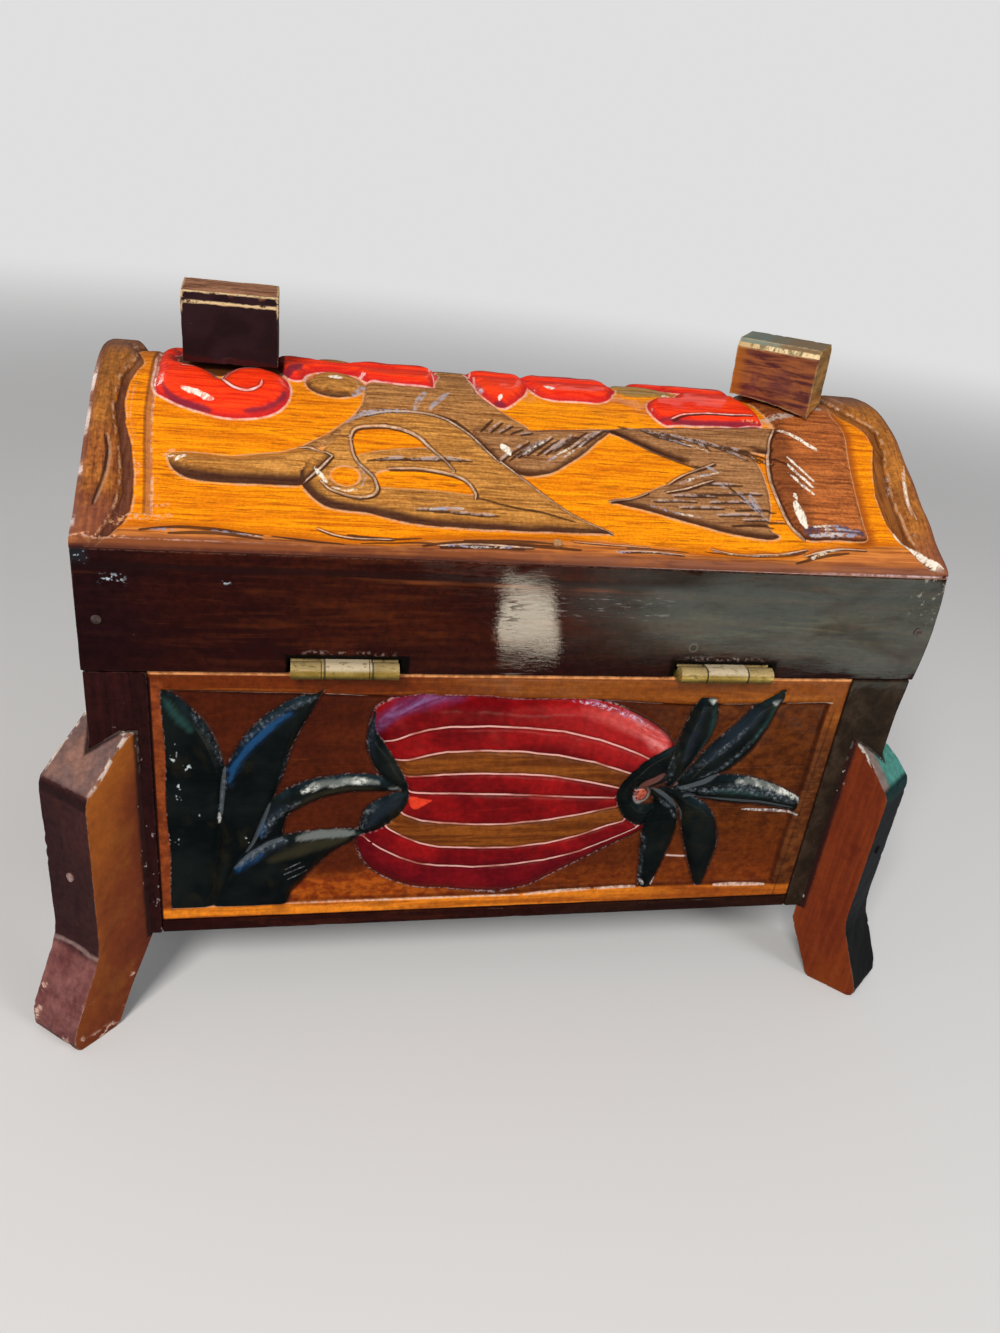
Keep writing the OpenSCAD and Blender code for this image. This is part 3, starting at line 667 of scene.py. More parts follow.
def finish_uv(ob, luv, lv, nloop_grid):
    """sides and underside share a strip below the grid, laid out by their own coordinates"""
    me = ob.data
    co = np.zeros(len(me.vertices) * 3)
    me.vertices.foreach_get("co", co)
    co = co.reshape(-1, 3)
    lo, hi = co.min(0), co.max(0)
    c = (co - lo) / (hi - lo)
    start = np.zeros(len(me.polygons), np.int32)
    tot = np.zeros(len(me.polygons), np.int32)
    me.polygons.foreach_get("loop_start", start)
    me.polygons.foreach_get("loop_total", tot)
    nrm = np.zeros(len(me.polygons) * 3)
    me.polygons.foreach_get("normal", nrm)
    nrm = nrm.reshape(-1, 3)
    for p in range(nloop_grid // 4, len(me.polygons)):
        sl = slice(start[p], start[p] + tot[p])
        v = lv[sl]
        k = int(np.argmax(np.abs(nrm[p])))
        slot = {0: 0 if nrm[p][0] < 0 else 1, 1: 2 if nrm[p][1] < 0 else 3, 2: 4 if nrm[p][2] < 0 else 5}[k]
        ax = [i for i in range(3) if i != k]
        luv[sl, 0] = 0.02 + slot * 0.163 + 0.15 * c[v][:, ax[0]]
        luv[sl, 1] = 0.005 + 0.055 * c[v][:, ax[1]]
    me.uv_layers["OFBake"].data.foreach_set("uv", luv.astype(np.float32).ravel())


def make_panel(name, node, front):
    lo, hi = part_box(node)
    x0, x1, z0, z1 = lo.x / MM, hi.x / MM, lo.z / MM, hi.z / MM
    face, inner = (hi.y / MM, lo.y / MM) if not front else (lo.y / MM, hi.y / MM)
    step = 0.42
    ni = int(round((x1 - x0) / step)) + 1
    nj = int(round((z1 - z0) / step)) + 1
    xs = np.linspace(x0, x1, ni)
    zs = np.linspace(z0, z1, nj)
    X, Z = np.meshgrid(xs, zs, indexing="ij")
    # a is measured to the right as seen from outside
    A = -X if not front else X * 1.0
    el, er = (-x1, -x0) if not front else (x0, x1)
    if front:
        A = X - 3.0 * 0
        k = (88.6 + 91.9) / (x1 - x0)
        A = -91.4 + (X - x0) * (179.8 / (x1 - x0))
        el, er = -91.4, 88.4
    B = Z - 102.0
    d = panel_design(A.ravel(), B.ravel(), el, er)
    h = soften(d.pop("h").reshape(X.shape))
    Y = face + (h if not front else -h)
    top = np.stack([X, Y, Z], -1) * MM
    bl = np.stack([np.full(nj, x0), np.full(nj, inner), zs], -1) * MM
    br = np.stack([np.full(nj, x1), np.full(nj, inner), zs], -1) * MM
    attrs = {k: v.reshape(X.shape) for k, v in d.items()}
    if not front:
        top = top[::-1]
        attrs = {k: v[::-1] for k, v in attrs.items()}
        bl, br = br, bl
    ob, luv, lv, nl = grid_solid(name, top, bl, br, attrs, {"rect": 5.0, "bd": 0.0, "band": 0.0})
    finish_uv(ob, luv, lv, nl)
    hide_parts(node)
    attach(ob, "body")
    return ob


# ------------------------------------------------------------------ relief of the lid
LID_X0, LID_X1, HALF_Y = -107.0, 106.0, 60.0
RAIL_TOP = 132.0
ARRIS_Z, SLOPE, RUN = 133.5, math.radians(33.0), 37.0
ARC_R = (HALF_Y - RUN) / math.sin(SLOPE)
ARC_Z0 = ARRIS_Z + RUN * math.tan(SLOPE) - ARC_R * math.cos(SLOPE)
S1 = RUN / math.cos(SLOPE)
S_CROWN = S1 + ARC_R * SLOPE


def arch(s):
    """point (y, z) and normal on the back half of the arch at distance s from its arris"""
    ang = np.clip(SLOPE - (s - S1) / ARC_R, 0, SLOPE)
    on = s < S1
    y = np.where(on, HALF_Y - s * math.cos(SLOPE), ARC_R * np.sin(ang))
    z = np.where(on, ARRIS_Z + s * math.sin(SLOPE), ARC_Z0 + ARC_R * np.cos(ang))
    return y, z, np.sin(ang), np.cos(ang)


# a to the right seen from the back, s up the slope from the arris (mm)
CLUB = [(-87.8, 27.2), (-85.6, 28.3), (-79.4, 28.3), (-73.7, 28), (-68, 28.9), (-62.3, 30.1), (-58, 31.8), (-53, 31.4), (-50.4, 29.2),
        (-52.5, 26), (-56.6, 21), (-58.7, 20), (-65.1, 20), (-73.7, 19.8), (-80.1, 20), (-84.4, 21.4), (-86.9, 23.8)]
HEART = [(17.6, 10), (12.5, 12.7), (7.5, 15.8), (3.3, 19.2), (0, 22.5), (-4.2, 26.9), (-8, 30.6), (-11.6, 34), (-15.1, 38.6),
         (-18.7, 42), (-23, 44.6), (-29.4, 45.9), (-36.6, 45.4), (-42.3, 43.4), (-46.6, 40.6), (-50, 36.5), (-52.5, 31.5),
         (-56, 26), (-57.6, 21.4), (-56.2, 18.2), (-53.7, 15.4), (-50.9, 13.9), (-46.6, 13.2), (-42.3, 12.9), (-38, 11.8),
         (-33.7, 10.6), (-28.7, 10), (-20.9, 9.6), (-8, 9.4), (0, 9.6), (9.2, 9.7)]
UPPER = [(-60, 30.9), (-58, 31.8), (-53.7, 35), (-49.4, 38.6), (-46.6, 41.4), (-44.4, 44.3), (-42.3, 49.3), (-41.2, 57.6),
         (-36.6, 58.2), (-29.4, 57.9), (-24, 57.8), (-23, 61), (-22.6, 67.4), (-13.2, 67.4), (-12.6, 60), (-11.6, 55.4), (-7.8, 50),
         (-3.8, 46), (0, 42.2), (-3, 36), (-8, 30.6), (-11.6, 33), (-16, 38), (-22, 43), (-29.4, 45), (-36.6, 44.5), (-42.3, 42.5),
         (-47, 38), (-51, 33)]
WING_1 = [(21.9, 44.4), (17.5, 39.2), (13.3, 35), (9.2, 31.7), (5, 28.8), (0, 27.1), (-3.5, 27.2), (-8, 30.4), (-13, 37),
          (-14.5, 41), (-8, 42), (0, 42.3), (10, 43.2)]
WING_2 = [(21.5, 44.3), (38.3, 46.5), (55, 48.2), (71, 49.6), (68.4, 44.2), (67, 39.6), (61.1, 39.5), (62.9, 34.2), (63.3, 26.7),
          (62.5, 20), (60.6, 14), (63, 11.5), (60.2, 10.3), (55, 10.6), (46.7, 12.1), (38.3, 14.6), (30, 17.1), (18.6, 20.2),
          (25, 21.7), (30, 24.2), (35, 26.7), (40, 30), (44, 32.9), (38.3, 35.8), (31.7, 38.8), (26.7, 41.7)]
PANEL_R = [(71, 49.6), (68.3, 44.2), (66.7, 39.2), (65.8, 33.3), (65.7, 26.7), (66.3, 20), (67.5, 15), (70, 10.8), (79, 11),
           (87.6, 11.2), (88.3, 16.7), (89.2, 28.3), (90.8, 40.8), (92.2, 50), (91.6, 57), (92.4, 62), (92, 67.4), (71, 67.4),
           (69.5, 61), (70.5, 55)]
OVAL = (-49.1, 56.1, 7.5, 6.2)
RED_1 = [(-92.6, 48.2), (-89.4, 45), (-85.1, 42.5), (-79.4, 40.7), (-73.7, 40), (-68, 40.7), (-63.7, 42.9), (-61.2, 46.1),
         (-60.3, 50.7), (-60.9, 55), (-62.6, 58.2), (-65.1, 60.3), (-68, 61.5), (-72, 61.3), (-74.8, 59.6), (-76.4, 57),
         (-77.3, 54.4), (-79.4, 57.1), (-82.3, 59.6), (-85.9, 60.8), (-88, 62.5), (-88.6, 67.2), (-92.8, 67.2), (-92.8, 57)]
RED_2 = [(-63.4, 67.2), (-63, 61), (-60.3, 56.8), (-57.5, 57.3), (-56.5, 60), (-54, 62.6), (-49, 63.7), (-44, 62.3), (-42, 59.4),
         (-40.5, 58.4), (-36.6, 58.3), (-29.4, 57.9), (-24.6, 57.7), (-23.2, 61), (-22.8, 67.2), (-40, 67.4)]
RED_3 = [(-12.9, 67.2), (-12.2, 60), (-11.7, 57), (-8.6, 51.6), (-6.5, 50.2), (-4.2, 51.3), (-0.6, 55.8), (1.6, 60), (2, 67.2)]
RED_4 = [(2.9, 67.2), (3.1, 61.7), (5, 57.7), (8, 56.3), (13.3, 56.1), (20, 56.5), (24.2, 58.3), (26.3, 61.7), (26.6, 67.2)]
RED_5 = [(35.2, 56), (35.6, 52.5), (36.8, 49.6), (39, 47.8), (43.3, 48.4), (55, 49), (66.2, 49.7), (67.9, 53.3), (67.1, 58.3),
         (65, 64), (63.6, 67.2), (48.4, 67.2), (44.5, 62.8), (40, 61.6), (36.7, 59.8)]
GREEN = [(28.2, 67.2), (29.5, 63), (34, 62), (38.5, 62.8), (43, 64.5), (46.5, 67.2)]
ORANGE_1 = [(-45.9, 35.7), (-44.8, 38.4), (-41.6, 39.7), (-36.6, 40), (-32.3, 39), (-28.7, 36.8), (-26.4, 33.7), (-29.4, 33.3),
            (-34.4, 32.5), (-39.4, 31.4), (-43, 30.2), (-44.9, 29.4), (-46, 32.1)]
ORANGE_2 = [(-40.1, 24.4), (-36.6, 26.1), (-30.9, 26.7), (-25.1, 26.2), (-20.1, 24.9), (-17.3, 22.9), (-16, 20), (-17, 19.2),
            (-22.3, 19.6), (-29.4, 20), (-36.6, 20), (-39.8, 20.4)]
BORD_A = [-108, -100, -93.7, -84.4, -75.9, -69.4, -58, -45.9, -36.6, -29.4, -18.7, -8, 0, 13, 30, 42, 55, 64, 70, 78, 88, 97, 108]
BORD_S = [3.2, 3.6, 4.6, 5.7, 5.4, 4.3, 3.6, 2.6, 2.6, 4.3, 5.4, 5.8, 6.0, 5.4, 4.2, 3.4, 3.4, 3.8, 5.6, 7.0, 8.2, 8.3, 8.0]
G1_S = [0, 2.1, 6, 10, 15, 22, 29, 36, 42, 50, 59, 62, 68.4]
G1_A = [-102, -100.4, -98.8, -97.5, -96.8, -97.2, -98.3, -99.9, -100.6, -99.9, -97.4, -97.2, -99.0]
G1_W = [1.0, 1.9, 2.8, 2.8, 2.4, 2.3, 2.3, 2.1, 1.9, 1.8, 1.4, 0.9, 0.6]
V1_S = [0, 10.7, 20, 30, 40, 52, 68.4]
V1_A = [-90.6, -90.9, -91.4, -92.3, -92.9, -92.8, -93.0]
W3_S = [0, 5, 9.9, 17, 26.5, 35.4, 44.3, 49, 52, 55, 58.1, 62, 68.4]
W3_A = [103.4, 100, 97.5, 95.3, 95.0, 96.9, 99.9, 99.6, 98.4, 96.4, 94.0, 93.6, 93.4]
W3_W = [1.2, 3.0, 5.0, 7.4, 7.6, 6.8, 4.4, 5.0, 5.4, 5.6, 5.0, 3.0, 2.0]


# painted light on the lid as strokes in its own coordinates: L_GLOSS cream highlights, L_GLINT glints, L_BLUE bluish
# highlights and reflections, L_PINK pinkish highlights, L_PURPLE shade on the red lobes
L_GLOSS = [([(-85.8, 47.4), (-82.6, 45.9), (-78.8, 44.2)], 0.95), ([(-50.6, 56.6), (-47.8, 56.4)], 0.8), ([(69.6, 22), (70.1, 18.6), (70.6, 14.4)], 1.25),
           ([(71.6, 38.0), (74.4, 33.8), (77.2, 29.8)], 0.4), ([(70.9, 35.4), (73.6, 31.4), (76.4, 27.6)], 0.4), ([(70.4, 32.6), (73, 28.9), (75.8, 25.4)], 0.35),
           ([(71.6, 48.2), (75, 46.4), (78.6, 43.4), (81.4, 41)], 0.6), ([(-8.0, 36.2), (-6.2, 33.4)], 0.9), ([(70.2, 25.4), (70.6, 23.6)], 0.5),
           ([(-85.6, 25.4), (-84, 26.6)], 0.6), ([(-54.5, 25.3), (-53.0, 23.0), (-51.7, 20.9)], 0.5), ([(96.4, 13.6), (98.4, 9.4), (102, 4.6), (105.4, 1.2)], 0.75),
           ([(7, 60.4), (9, 60)], 1.0), ([(-6.9, 52.4), (-6.2, 54)], 0.5), ([(42, 64.6), (46, 65.2)], 0.3),
           ([(103.4, 30), (102.4, 22)], 0.25), ([(102.6, 1.6), (105.4, 1.2)], 0.5)]
L_GLINT = [([(-89.8, 4.3), (-87, 4.6), (-84.6, 4.5)], 0.45), ([(-77, 4.9), (-71, 4.4), (-65.4, 3.4)], 0.3), ([(-25.5, 3.0), (-21, 3.2), (-17.4, 2.9), (-8, 3.4)], 0.28),
           ([(-27.4, 14.4), (-23, 14.7), (-19.4, 14.9)], 0.4), ([(43.2, 6.0), (50, 4.6), (58, 4.6), (68.6, 7.2)], 0.22), ([(69, 3.6), (74, 6.2), (79, 7.4)], 0.6),
           ([(71.4, 11.7), (78, 12.2), (85, 12.1)], 0.55), ([(73, 14.4), (77, 14.9), (80, 15)], 0.3), ([(76, 13.6), (81, 13.9), (86, 13.6)], 0.3), ([(-43.9, 26.4), (-42.6, 23.4), (-43.4, 20.4)], 0.2), ([(-50.6, 19.6), (-47.3, 18.6), (-44.4, 19.3)], 0.3), ([(17, 3.1), (26, 3.6), (33, 3.0)], 0.18), ([(28, 19.2), (36, 17.0), (42, 15.8)], 0.2),
           ([(38, 26.6), (44, 29.4), (51, 31.6)], 0.3), ([(3, 31.2), (7, 34.4), (11, 37.2)], 0.22), ([(8, 33.2), (11.5, 36.4), (15, 39.2)], 0.22),
           ([(-2.6, 33.4), (1.4, 37.0), (5, 39.4)], 0.22), ([(-90, 20.4), (-88.9, 14)], 0.0), ([(36, 42.6), (43, 40.6), (49, 38.2)], 0.16)]
L_BLUE = [([(70.6, 12.8), (76, 13.3), (81, 13.6), (86.6, 12.9)], 1.9), ([(68.8, 53.6), (73, 54.6), (78.4, 56)], 1.3), ([(60, 17), (57, 20.4), (54.6, 24.6)], 0.5), ([(57.4, 24), (58.2, 21.4), (59.2, 18.8)], 0.8), ([(-29.4, 46.6), (-28.3, 50), (-26.4, 54)], 0.9),
          ([(-25.6, 46.8), (-23.4, 50.2), (-20.2, 55)], 0.8), ([(-44.6, 51.2), (-43, 53.4), (-41.2, 55.6)], 0.7), ([(-46.8, 40.6), (-43.2, 43.6), (-38, 45.2), (-31.2, 46)], 0.8),
          ([(86, 62), (90, 61.4)], 1.0), ([(-12.6, 60.6), (-10.8, 56.4)], 0.6), ([(47.4, 33), (49.6, 31.6)], 0.7), ([(49.6, 27.6), (51, 26)], 0.5)]
L_PINK = [([(-94, 24), (-93.8, 20.6)], 0.5), ([(-90.8, 17), (-90.2, 12.6)], 0.6), ([(-89.6, 12.2), (-86.8, 12.8)], 0.4), ([(-98.4, 6), (-95.6, 8.6), (-91, 8.6), (-86, 9.6)], 0.9),
          ([(-105.6, 1), (-100, 1.8), (-95, 2.2)], 0.8), ([(-89, 27), (-86.4, 29.6)], 0.5), ([(66.4, 54.6), (69.4, 52.2), (71, 50)], 1.0), ([(61, 50.6), (66, 50.8)], 0.4)]
L_PURPLE = [([(-90.6, 49), (-88.6, 45.6), (-84.6, 42.9), (-79.4, 41.4)], 0.95), ([(-61.6, 49.6), (-62.8, 46), (-66.4, 43), (-71, 41.6)], 0.9), ([(-62, 57.6), (-60, 60), (-57.8, 63)], 1.6),
            ([(-8.6, 51.4), (-5.6, 50.9)], 0.7), ([(36.4, 49.4), (44, 49), (56, 49.6), (66, 50.4)], 0.7)]


def lid_design(A, S, SM, front):
    """A, S in the motif's own direction (turned round for the front half), SM is the distance from the near arris
    and AO the true a: borders are continuous over the crown"""
    AO = -A if front else A
    # --- borders
    bord = S - np.interp(A, BORD_A, BORD_S)                       # negative inside the bottom border
    gl = np.interp(SM, G1_S, G1_A)
    wl = np.interp(SM, G1_S, G1_W)
    gr = np.interp(SM, W3_S, W3_A)
    wr = np.interp(SM, W3_S, W3_W) * 0.5
    rim_l = AO - gl                                               # negative on the rim
    rim_r = gr + wr - AO
    rim = np.minimum(rim_l, rim_r)
    gut = np.minimum(np.maximum(gl - AO, AO - gl - wl), np.maximum(gr - AO, AO - gr - wr))   # negative in the dark gutters
    v1 = np.interp(SM, V1_S, V1_A)
    vline = np.where(SM > 9.5, AO - v1, FAR)
    # --- motifs
    polys_brown = [CLUB, HEART, UPPER, WING_1, WING_2, PANEL_R]
    sb = [sd_poly(A, S, p) for p in polys_brown]
    oval = sd_ellipse(A, S, *OVAL)
    club, heart, upper, wing1, wing2, panelr = sb
    o1, o2 = sd_poly(A, S, ORANGE_1), sd_poly(A, S, ORANGE_2)
    eye = sd_ellipse(A, S, -47.3, 23.2, 3.7, 3.3)
    brown = np.minimum.reduce(sb + [oval])
    inner = np.minimum.reduce([o1, o2, eye])
    brown_c = np.maximum(brown, -inner)
    reds = [sd_poly(A, S, p) for p in (RED_1, RED_2, RED_3, RED_4, RED_5)]
    red = np.minimum.reduce(reds)
    red = np.maximum(red, -(oval - 0.3))
    green = sd_poly(A, S, GREEN)
    # motifs stay inside the field
    lim = np.maximum(v1 + 0.2 - AO, AO - gr + 3.0)
    if front:
        brown_c = np.maximum(brown_c, lim)
        brown = np.maximum(brown, lim)
        red = np.maximum(red, lim)
    # --- incised lines: each has a pale burr on one side, carrying a painted highlight, and a dark cut beside it, painted shade
    swirl = [[(-77.2, 53.4), (-76.1, 51.1), (-73.8, 48.7), (-70.6, 48), (-67.9, 49.8), (-67.3, 52)],
             [(-86.4, 57.2), (-81.9, 57.6), (-79.4, 56), (-77.2, 53.4), (-75.6, 55.8), (-73, 58.2), (-69.2, 58.6)]]
    lines = [
        ([(-45.9, 35.7), (-45.4, 31.4), (-44.4, 27.9), (-42.3, 25.4), (-40.5, 23), (-39.8, 20), (-40.9, 17.9), (-43.7, 17),
          (-47.3, 17.4), (-50.9, 18.9), (-52.8, 21)], 0.24),
        ([(-45.9, 35.2), (-44.8, 38.4), (-41.6, 39.7), (-36.6, 40), (-32.3, 39), (-28.7, 36.8), (-25.9, 33.2), (-23, 30), (-20.9, 26.8)], 0.24),
        ([(-36.9, 26.3), (-30.9, 26.8), (-25.1, 26.3), (-20.1, 25), (-17.3, 22.9), (-16, 20), (-16.2, 18.4)], 0.2),
        ([(-50.4, 29), (-53, 25.5), (-56.6, 21)], 0.2),
        ([(-58, 31.9), (-54.5, 31.7), (-50.4, 29.4)], 0.15),
        ([(-9, 30.5), (-11.6, 33.8), (-15.1, 38.5), (-18.7, 41.8), (-23, 44.5), (-29.4, 45.8), (-36.6, 45.3), (-42.3, 43.5)], 0.26),
        ([(3.3, 19.4), (0, 22.5), (-4.2, 26.9), (-8.5, 31)], 0.22),
        ([(17.5, 10.2), (12.5, 12.7), (7.5, 15.8), (3.3, 19.2)], 0.12),
        ([(35.4, 26.9), (40, 30.2), (45.8, 32.6), (49.5, 34.4)], 0.15),
        ([(34, 23.6), (40, 25.4), (48, 28.6)], 0.12),
        ([(18.6, 20.3), (24, 21.2), (29, 23.4)], 0.12),
        ([(70.4, 48.6), (68.0, 44), (66.6, 39.4), (65.4, 33.3), (65.2, 27.4), (66, 20), (67.2, 15), (69.6, 11)], 0.3),
        ([(40.5, 49.4), (46, 51.6), (56, 52.6), (64.5, 52.8)], 0.15),
        ([(-53.7, 7.9), (-49.5, 6.2), (-45, 5.5), (-37, 5.6)], 0.12),
        ([(6.7, 6.4), (15, 5.9), (26, 5.7)], 0.15),
        ([(43.3, 6.6), (48, 5.2), (54, 4.9), (61, 5.7), (69, 7.2)], 0.15),
        ([(67.5, 4.3), (72, 6), (78, 7.4), (85, 7)], 0.2),
        ([(18, 3.4), (26, 3.9), (34, 3.2)], 0.15),
        ([(-26, 3), (-18, 3.9), (-4, 3.4)], 0.2)]
    pale = marks(A, S, lines, 0.5)
    pale = np.minimum(pale, marks(A, S, [(q, 0.32) for q in swirl], 0.3))
    pale = np.minimum(pale, marks(AO, SM, [
        ([(-100.9, 30.4), (-99.9, 25.4), (-100.1, 18), (-101.7, 10.4)], 0.26),
        ([(105.6, 36), (103.8, 30), (102.8, 23), (102.9, 17)], 0.2),
        ([(104, 33.4), (102.4, 26), (102, 18.6)], 0.15),
        ([(-96.6, 50), (-97.2, 42), (-96.2, 34), (-94.8, 31)], 0.12)], 0.5))
    # dark copies of the lines, shifted down and to one side: painted shade in the cuts
    dark_items = [([(x + 0.35, y - 0.45) for x, y in q], 0.26) for q, w in lines]
    dark_items += [
        ([(-15.9, 18.6), (-8, 16.2), (0, 14.8), (8.3, 12.4)], 0.2),
        ([(-0.5, 42.3), (12, 43.4), (21.7, 44.4), (38.3, 46.6), (55, 48.3), (71, 49.7)], 0.3),
        ([(21.7, 44.2), (26.7, 41.7), (33, 38.2), (44.5, 32.9), (46.5, 33.2)], 0.25),
        ([(52, 26.5), (55.5, 22.5), (59, 18)], 0.3),
        ([(-92, 4.2), (-86, 5.5), (-78, 5.6), (-66, 4.2)], 0.5), ([(-86, 3.4), (-76, 4.0), (-66, 2.8)], 0.35), ([(-64, 4.2), (-56, 3.0), (-48, 2.4)], 0.25),
        ([(-30, 2.6), (-24, 3.9), (-14, 4.5), (-2, 3.8), (8, 3.2)], 0.4), ([(-26, 2.2), (-16, 2.9), (-6, 2.6)], 0.3),
        ([(20, 4.6), (28, 4.9), (36, 4.4)], 0.25), ([(41, 5.4), (50, 3.9), (60, 4.2), (68, 5.8)], 0.3), ([(64, 1.6), (72, 4.2), (80, 5.6)], 0.3),
        ([(-47, 6.4), (-40, 5.6), (-30, 5.8)], 0.25),
        ([(-20, 5), (-8, 5.4), (2, 4.8)], 0.3), ([(-44, 3.2), (-36, 4), (-26, 3.4)], 0.25),
        ([(-23.8, 45.2), (-18.6, 42.5), (-14.3, 37.6), (-9.6, 31.4)], 0.42),
        ([(-101.4, 30), (-100.5, 25), (-100.7, 17.8), (-102.2, 10)], 0.25)]
    r = np.random.RandomState(5)
    hatch = []
    # hatching on the wings: short knife strokes
    for x in np.arange(-9, 16, 2.5):
        x0, s0 = x, 29.4 + 0.3 * (x + 9) + r.uniform(-0.6, 0.6)
        ln = 8.8 + r.uniform(-1.6, 1.6)
        hatch.append([(x0, s0 + 1.2), (x0 + ln * 0.4, s0 + 1.2 + ln * 0.36), (x0 + ln * 0.86, s0 + 1.2 + ln * 0.74)])
    for i, x in enumerate(np.arange(25, 60, 2.9)):
        s0 = 45.8 - 0.2 * (x - 27) + r.uniform(-0.5, 0.5)
        hatch.append([(x, s0), (x + 5.5, s0 - 1.6), (x + 11 + r.uniform(-1, 2), s0 - 4.0 - r.uniform(0, 1.0))])
    for i, (x, s0) in enumerate([(30, 20.2), (37, 18.4), (41, 23.2), (46, 20.8), (47, 16.6), (50, 13.6), (36, 22.2), (44, 26.6), (52, 18.6), (54, 15.4), (49, 23.8)]):
        hatch.append([(x, s0), (x + 6, s0 + 0.5), (x + 12, s0 + 0.6)])
    for i in range(6):
        x = -42 + 2.8 * i
        hatch.append([(x, 28.2 + 0.25 * i), (x + 6, 29.4 + 0.2 * i), (x + 12, 29.2 + 0.1 * i)])
    for i in range(5):
        hatch.append([(-13 + 2.6 * i, 40.2 - 0.1 * i), (-9.5 + 2.6 * i, 44.6 - 0.9 * i)])
    for i in range(4):
        x = -31 + 4.4 * i
        hatch.append([(x, 13.8 - 0.25 * i), (x + 7, 14 - 0.35 * i)])
    dark_items += [(q, 0.24) for q in hatch]
    darkl = marks(A, S, dark_items, 0.7)
    hlight = marks(A, S, [([(x - 0.5, y + 0.5) for x, y in q], 0.22) for i, q in enumerate(hatch) if i % 3 != 1], 0.9)
    ln, lnw = signed_marks(A, S, lines + [(q, 0.32) for q in swirl], 0.5)
    # --- heights over the plain arch
    field = -2.2 + 0.1 * wob(A, S, 12, 21) + 0.04 * wob(A, S, 4, 22)
    h = field.copy()
    # strip outside the left line and right strip lie higher
    h = np.where(AO < v1, field + 0.5, h)
    rs = sstep(AO, 86.0, 92.0) * (AO > 86)
    h = np.where(AO > 86, field + 0.6 * rs, h)
    # bottom border: from nearly full height at the arris down to the field
    up = 1 - sstep(bord, -1.6, 3.4)
    h = h + (-0.25 - h) * up
    # motifs
    for d, top, w in [(club, 1.9, 4.2), (heart, 1.0, 1.6), (upper, 0.9, 1.3), (wing1, 0.75, 1.2), (wing2, 0.8, 1.2), (panelr, 1.1, 1.9), (oval, 1.9, 3.6)]:
        hm = field + top * rise(d, w)
        h = np.where((d < 0), np.maximum(h, hm), h)
    h = np.where(inner < 0, field + 1.0 - 0.55 * rise(inner, 1.3), h)
    h = np.where((eye < 0), field + 0.5 + 0.5 * rise(eye, 2.2), h)
    # knife-step where heart meets the part above it, deeper on its upper side
    ridge = d_stroke(A, S, [(3.3, 20.2), (0, 23.4), (-4.2, 27.8), (-8.5, 31.8), (-11.9, 34.9), (-15.4, 39.6), (-19, 42.9), (-23.2, 45.5), (-29.4, 46.8), (-36.6, 46.3), (-42.8, 44.4), (-47, 42)], 0.9, 0.4)
    h = h - 0.5 * groove(ridge, 1.0) * (brown < 0)
    for d, rr in zip(reds, (4.2, 2.6, 3.0, 3.0, 2.8)):
        d2 = np.maximum(d, -(oval - 0.3))
        h = np.where(d2 < 0, np.maximum(h, field + 2.0 * rise(d2, rr)), h)
    h = np.where(green < 0, np.maximum(h, field + 1.0 * rise(green, 1.5)), h)
    sw = marks(A, S, [(q, 0.55) for q in swirl], 0.3)
    h = h - 0.6 * groove(sw, 0.9)
    # rims and gutters
    h_rim = 0.45 + 0.2 * wob(SM, SM * 0, 16, 31)
    rimtop = np.where(rim < 0, 1 - sstep(rim, -1.8, 0.0), 0)
    h = np.where(rim < 0, -0.7 + (h_rim + 0.7) * rimtop, h)
    gdepth = sstep(-gut, 0.0, 1.0)
    h = np.where(gut < 0.2, np.minimum(h, np.where(rim < 0, h, -1.1)) - 0.8 * gdepth, h)
    h = h - 0.4 * np.clip(1 - np.abs(vline) / 0.8, 0, 1)
    # incised lines
    h = h - 0.3 * groove(marks(A, S, lines, 0.4) - 0.25, 0.6) - 0.28 * groove(darkl - 0.2, 0.6)
    motif = np.minimum(brown, red)
    h = h - 0.15 * np.exp(-(np.clip(motif, 0, 9) / 0.9) ** 2) * (motif > 0) * (rim > 0.3) * (bord > 1)
    # softened ends
    ex = np.minimum(AO + LID_X1, -LID_X0 - AO)
    h = h - 0.7 * np.clip(1 - ex / 1.3, 0, 1) ** 2
    h = h + 0.03 * wob(A, S, 7, 41)
    # painted shade on the low side of a raised motif
    low = np.zeros(A.shape)
    for q, d, k in ((CLUB, club, 3.0), (HEART, heart, 2.6), (WING_2, wing2, 2.4), (WING_1, wing1, 2.4), (PANEL_R, panelr, 1.6)):
        low = np.maximum(low, np.clip(sd_poly(A - (2.0 if q is HEART else 0.0), S - k, q) / k + (0.35 if q is CLUB else 0.2), 0, 1) * (d < 0.4))
    low = np.maximum(low, np.clip(sd_ellipse(A - 0.8, S - 1.8, *OVAL) / 2.2 + 0.3, 0, 1) * (oval < 0.3))
    # painted shadow in the gap under the crown block, beside the red scroll
    hollow = np.maximum.reduce([-91.5 - A, A + 62.0, 56.5 - S, -np.minimum(reds[0], 5) + 0.1, -(brown - 0.4)])
    tone = np.select([panelr < 0, np.minimum(wing1, wing2) < 0, upper < 0], [1.0, 0.66, 0.33], 0.0)
    res = {"h": h, "brown": brown_c, "red": red, "green": green, "pale": pale, "darkl": darkl, "hlight": hlight,
           "rim": rim, "gut": gut, "bord": bord, "vline": vline, "low": low, "tone": tone,
           "inner": inner, "redd": -np.clip(-red, 0, 6), "arr": np.minimum(SM, ex), "la": AO, "ls": SM,
           "hollow": hollow, "ln": ln, "lnw": lnw, "gl1": AO - gl, "gw1": wl, "gl2": AO - gr, "gw2": wr}
    for key, items in (("gloss", L_GLOSS), ("lglint", L_GLINT), ("lblue", L_BLUE), ("lpink", L_PINK), ("lpurp", L_PURPLE)):
        res[key] = marks(A, S, items, 0.5)
    return {k: (v if k in ("la", "ls", "h") else np.clip(v, -9, 6.0)) for k, v in res.items()}


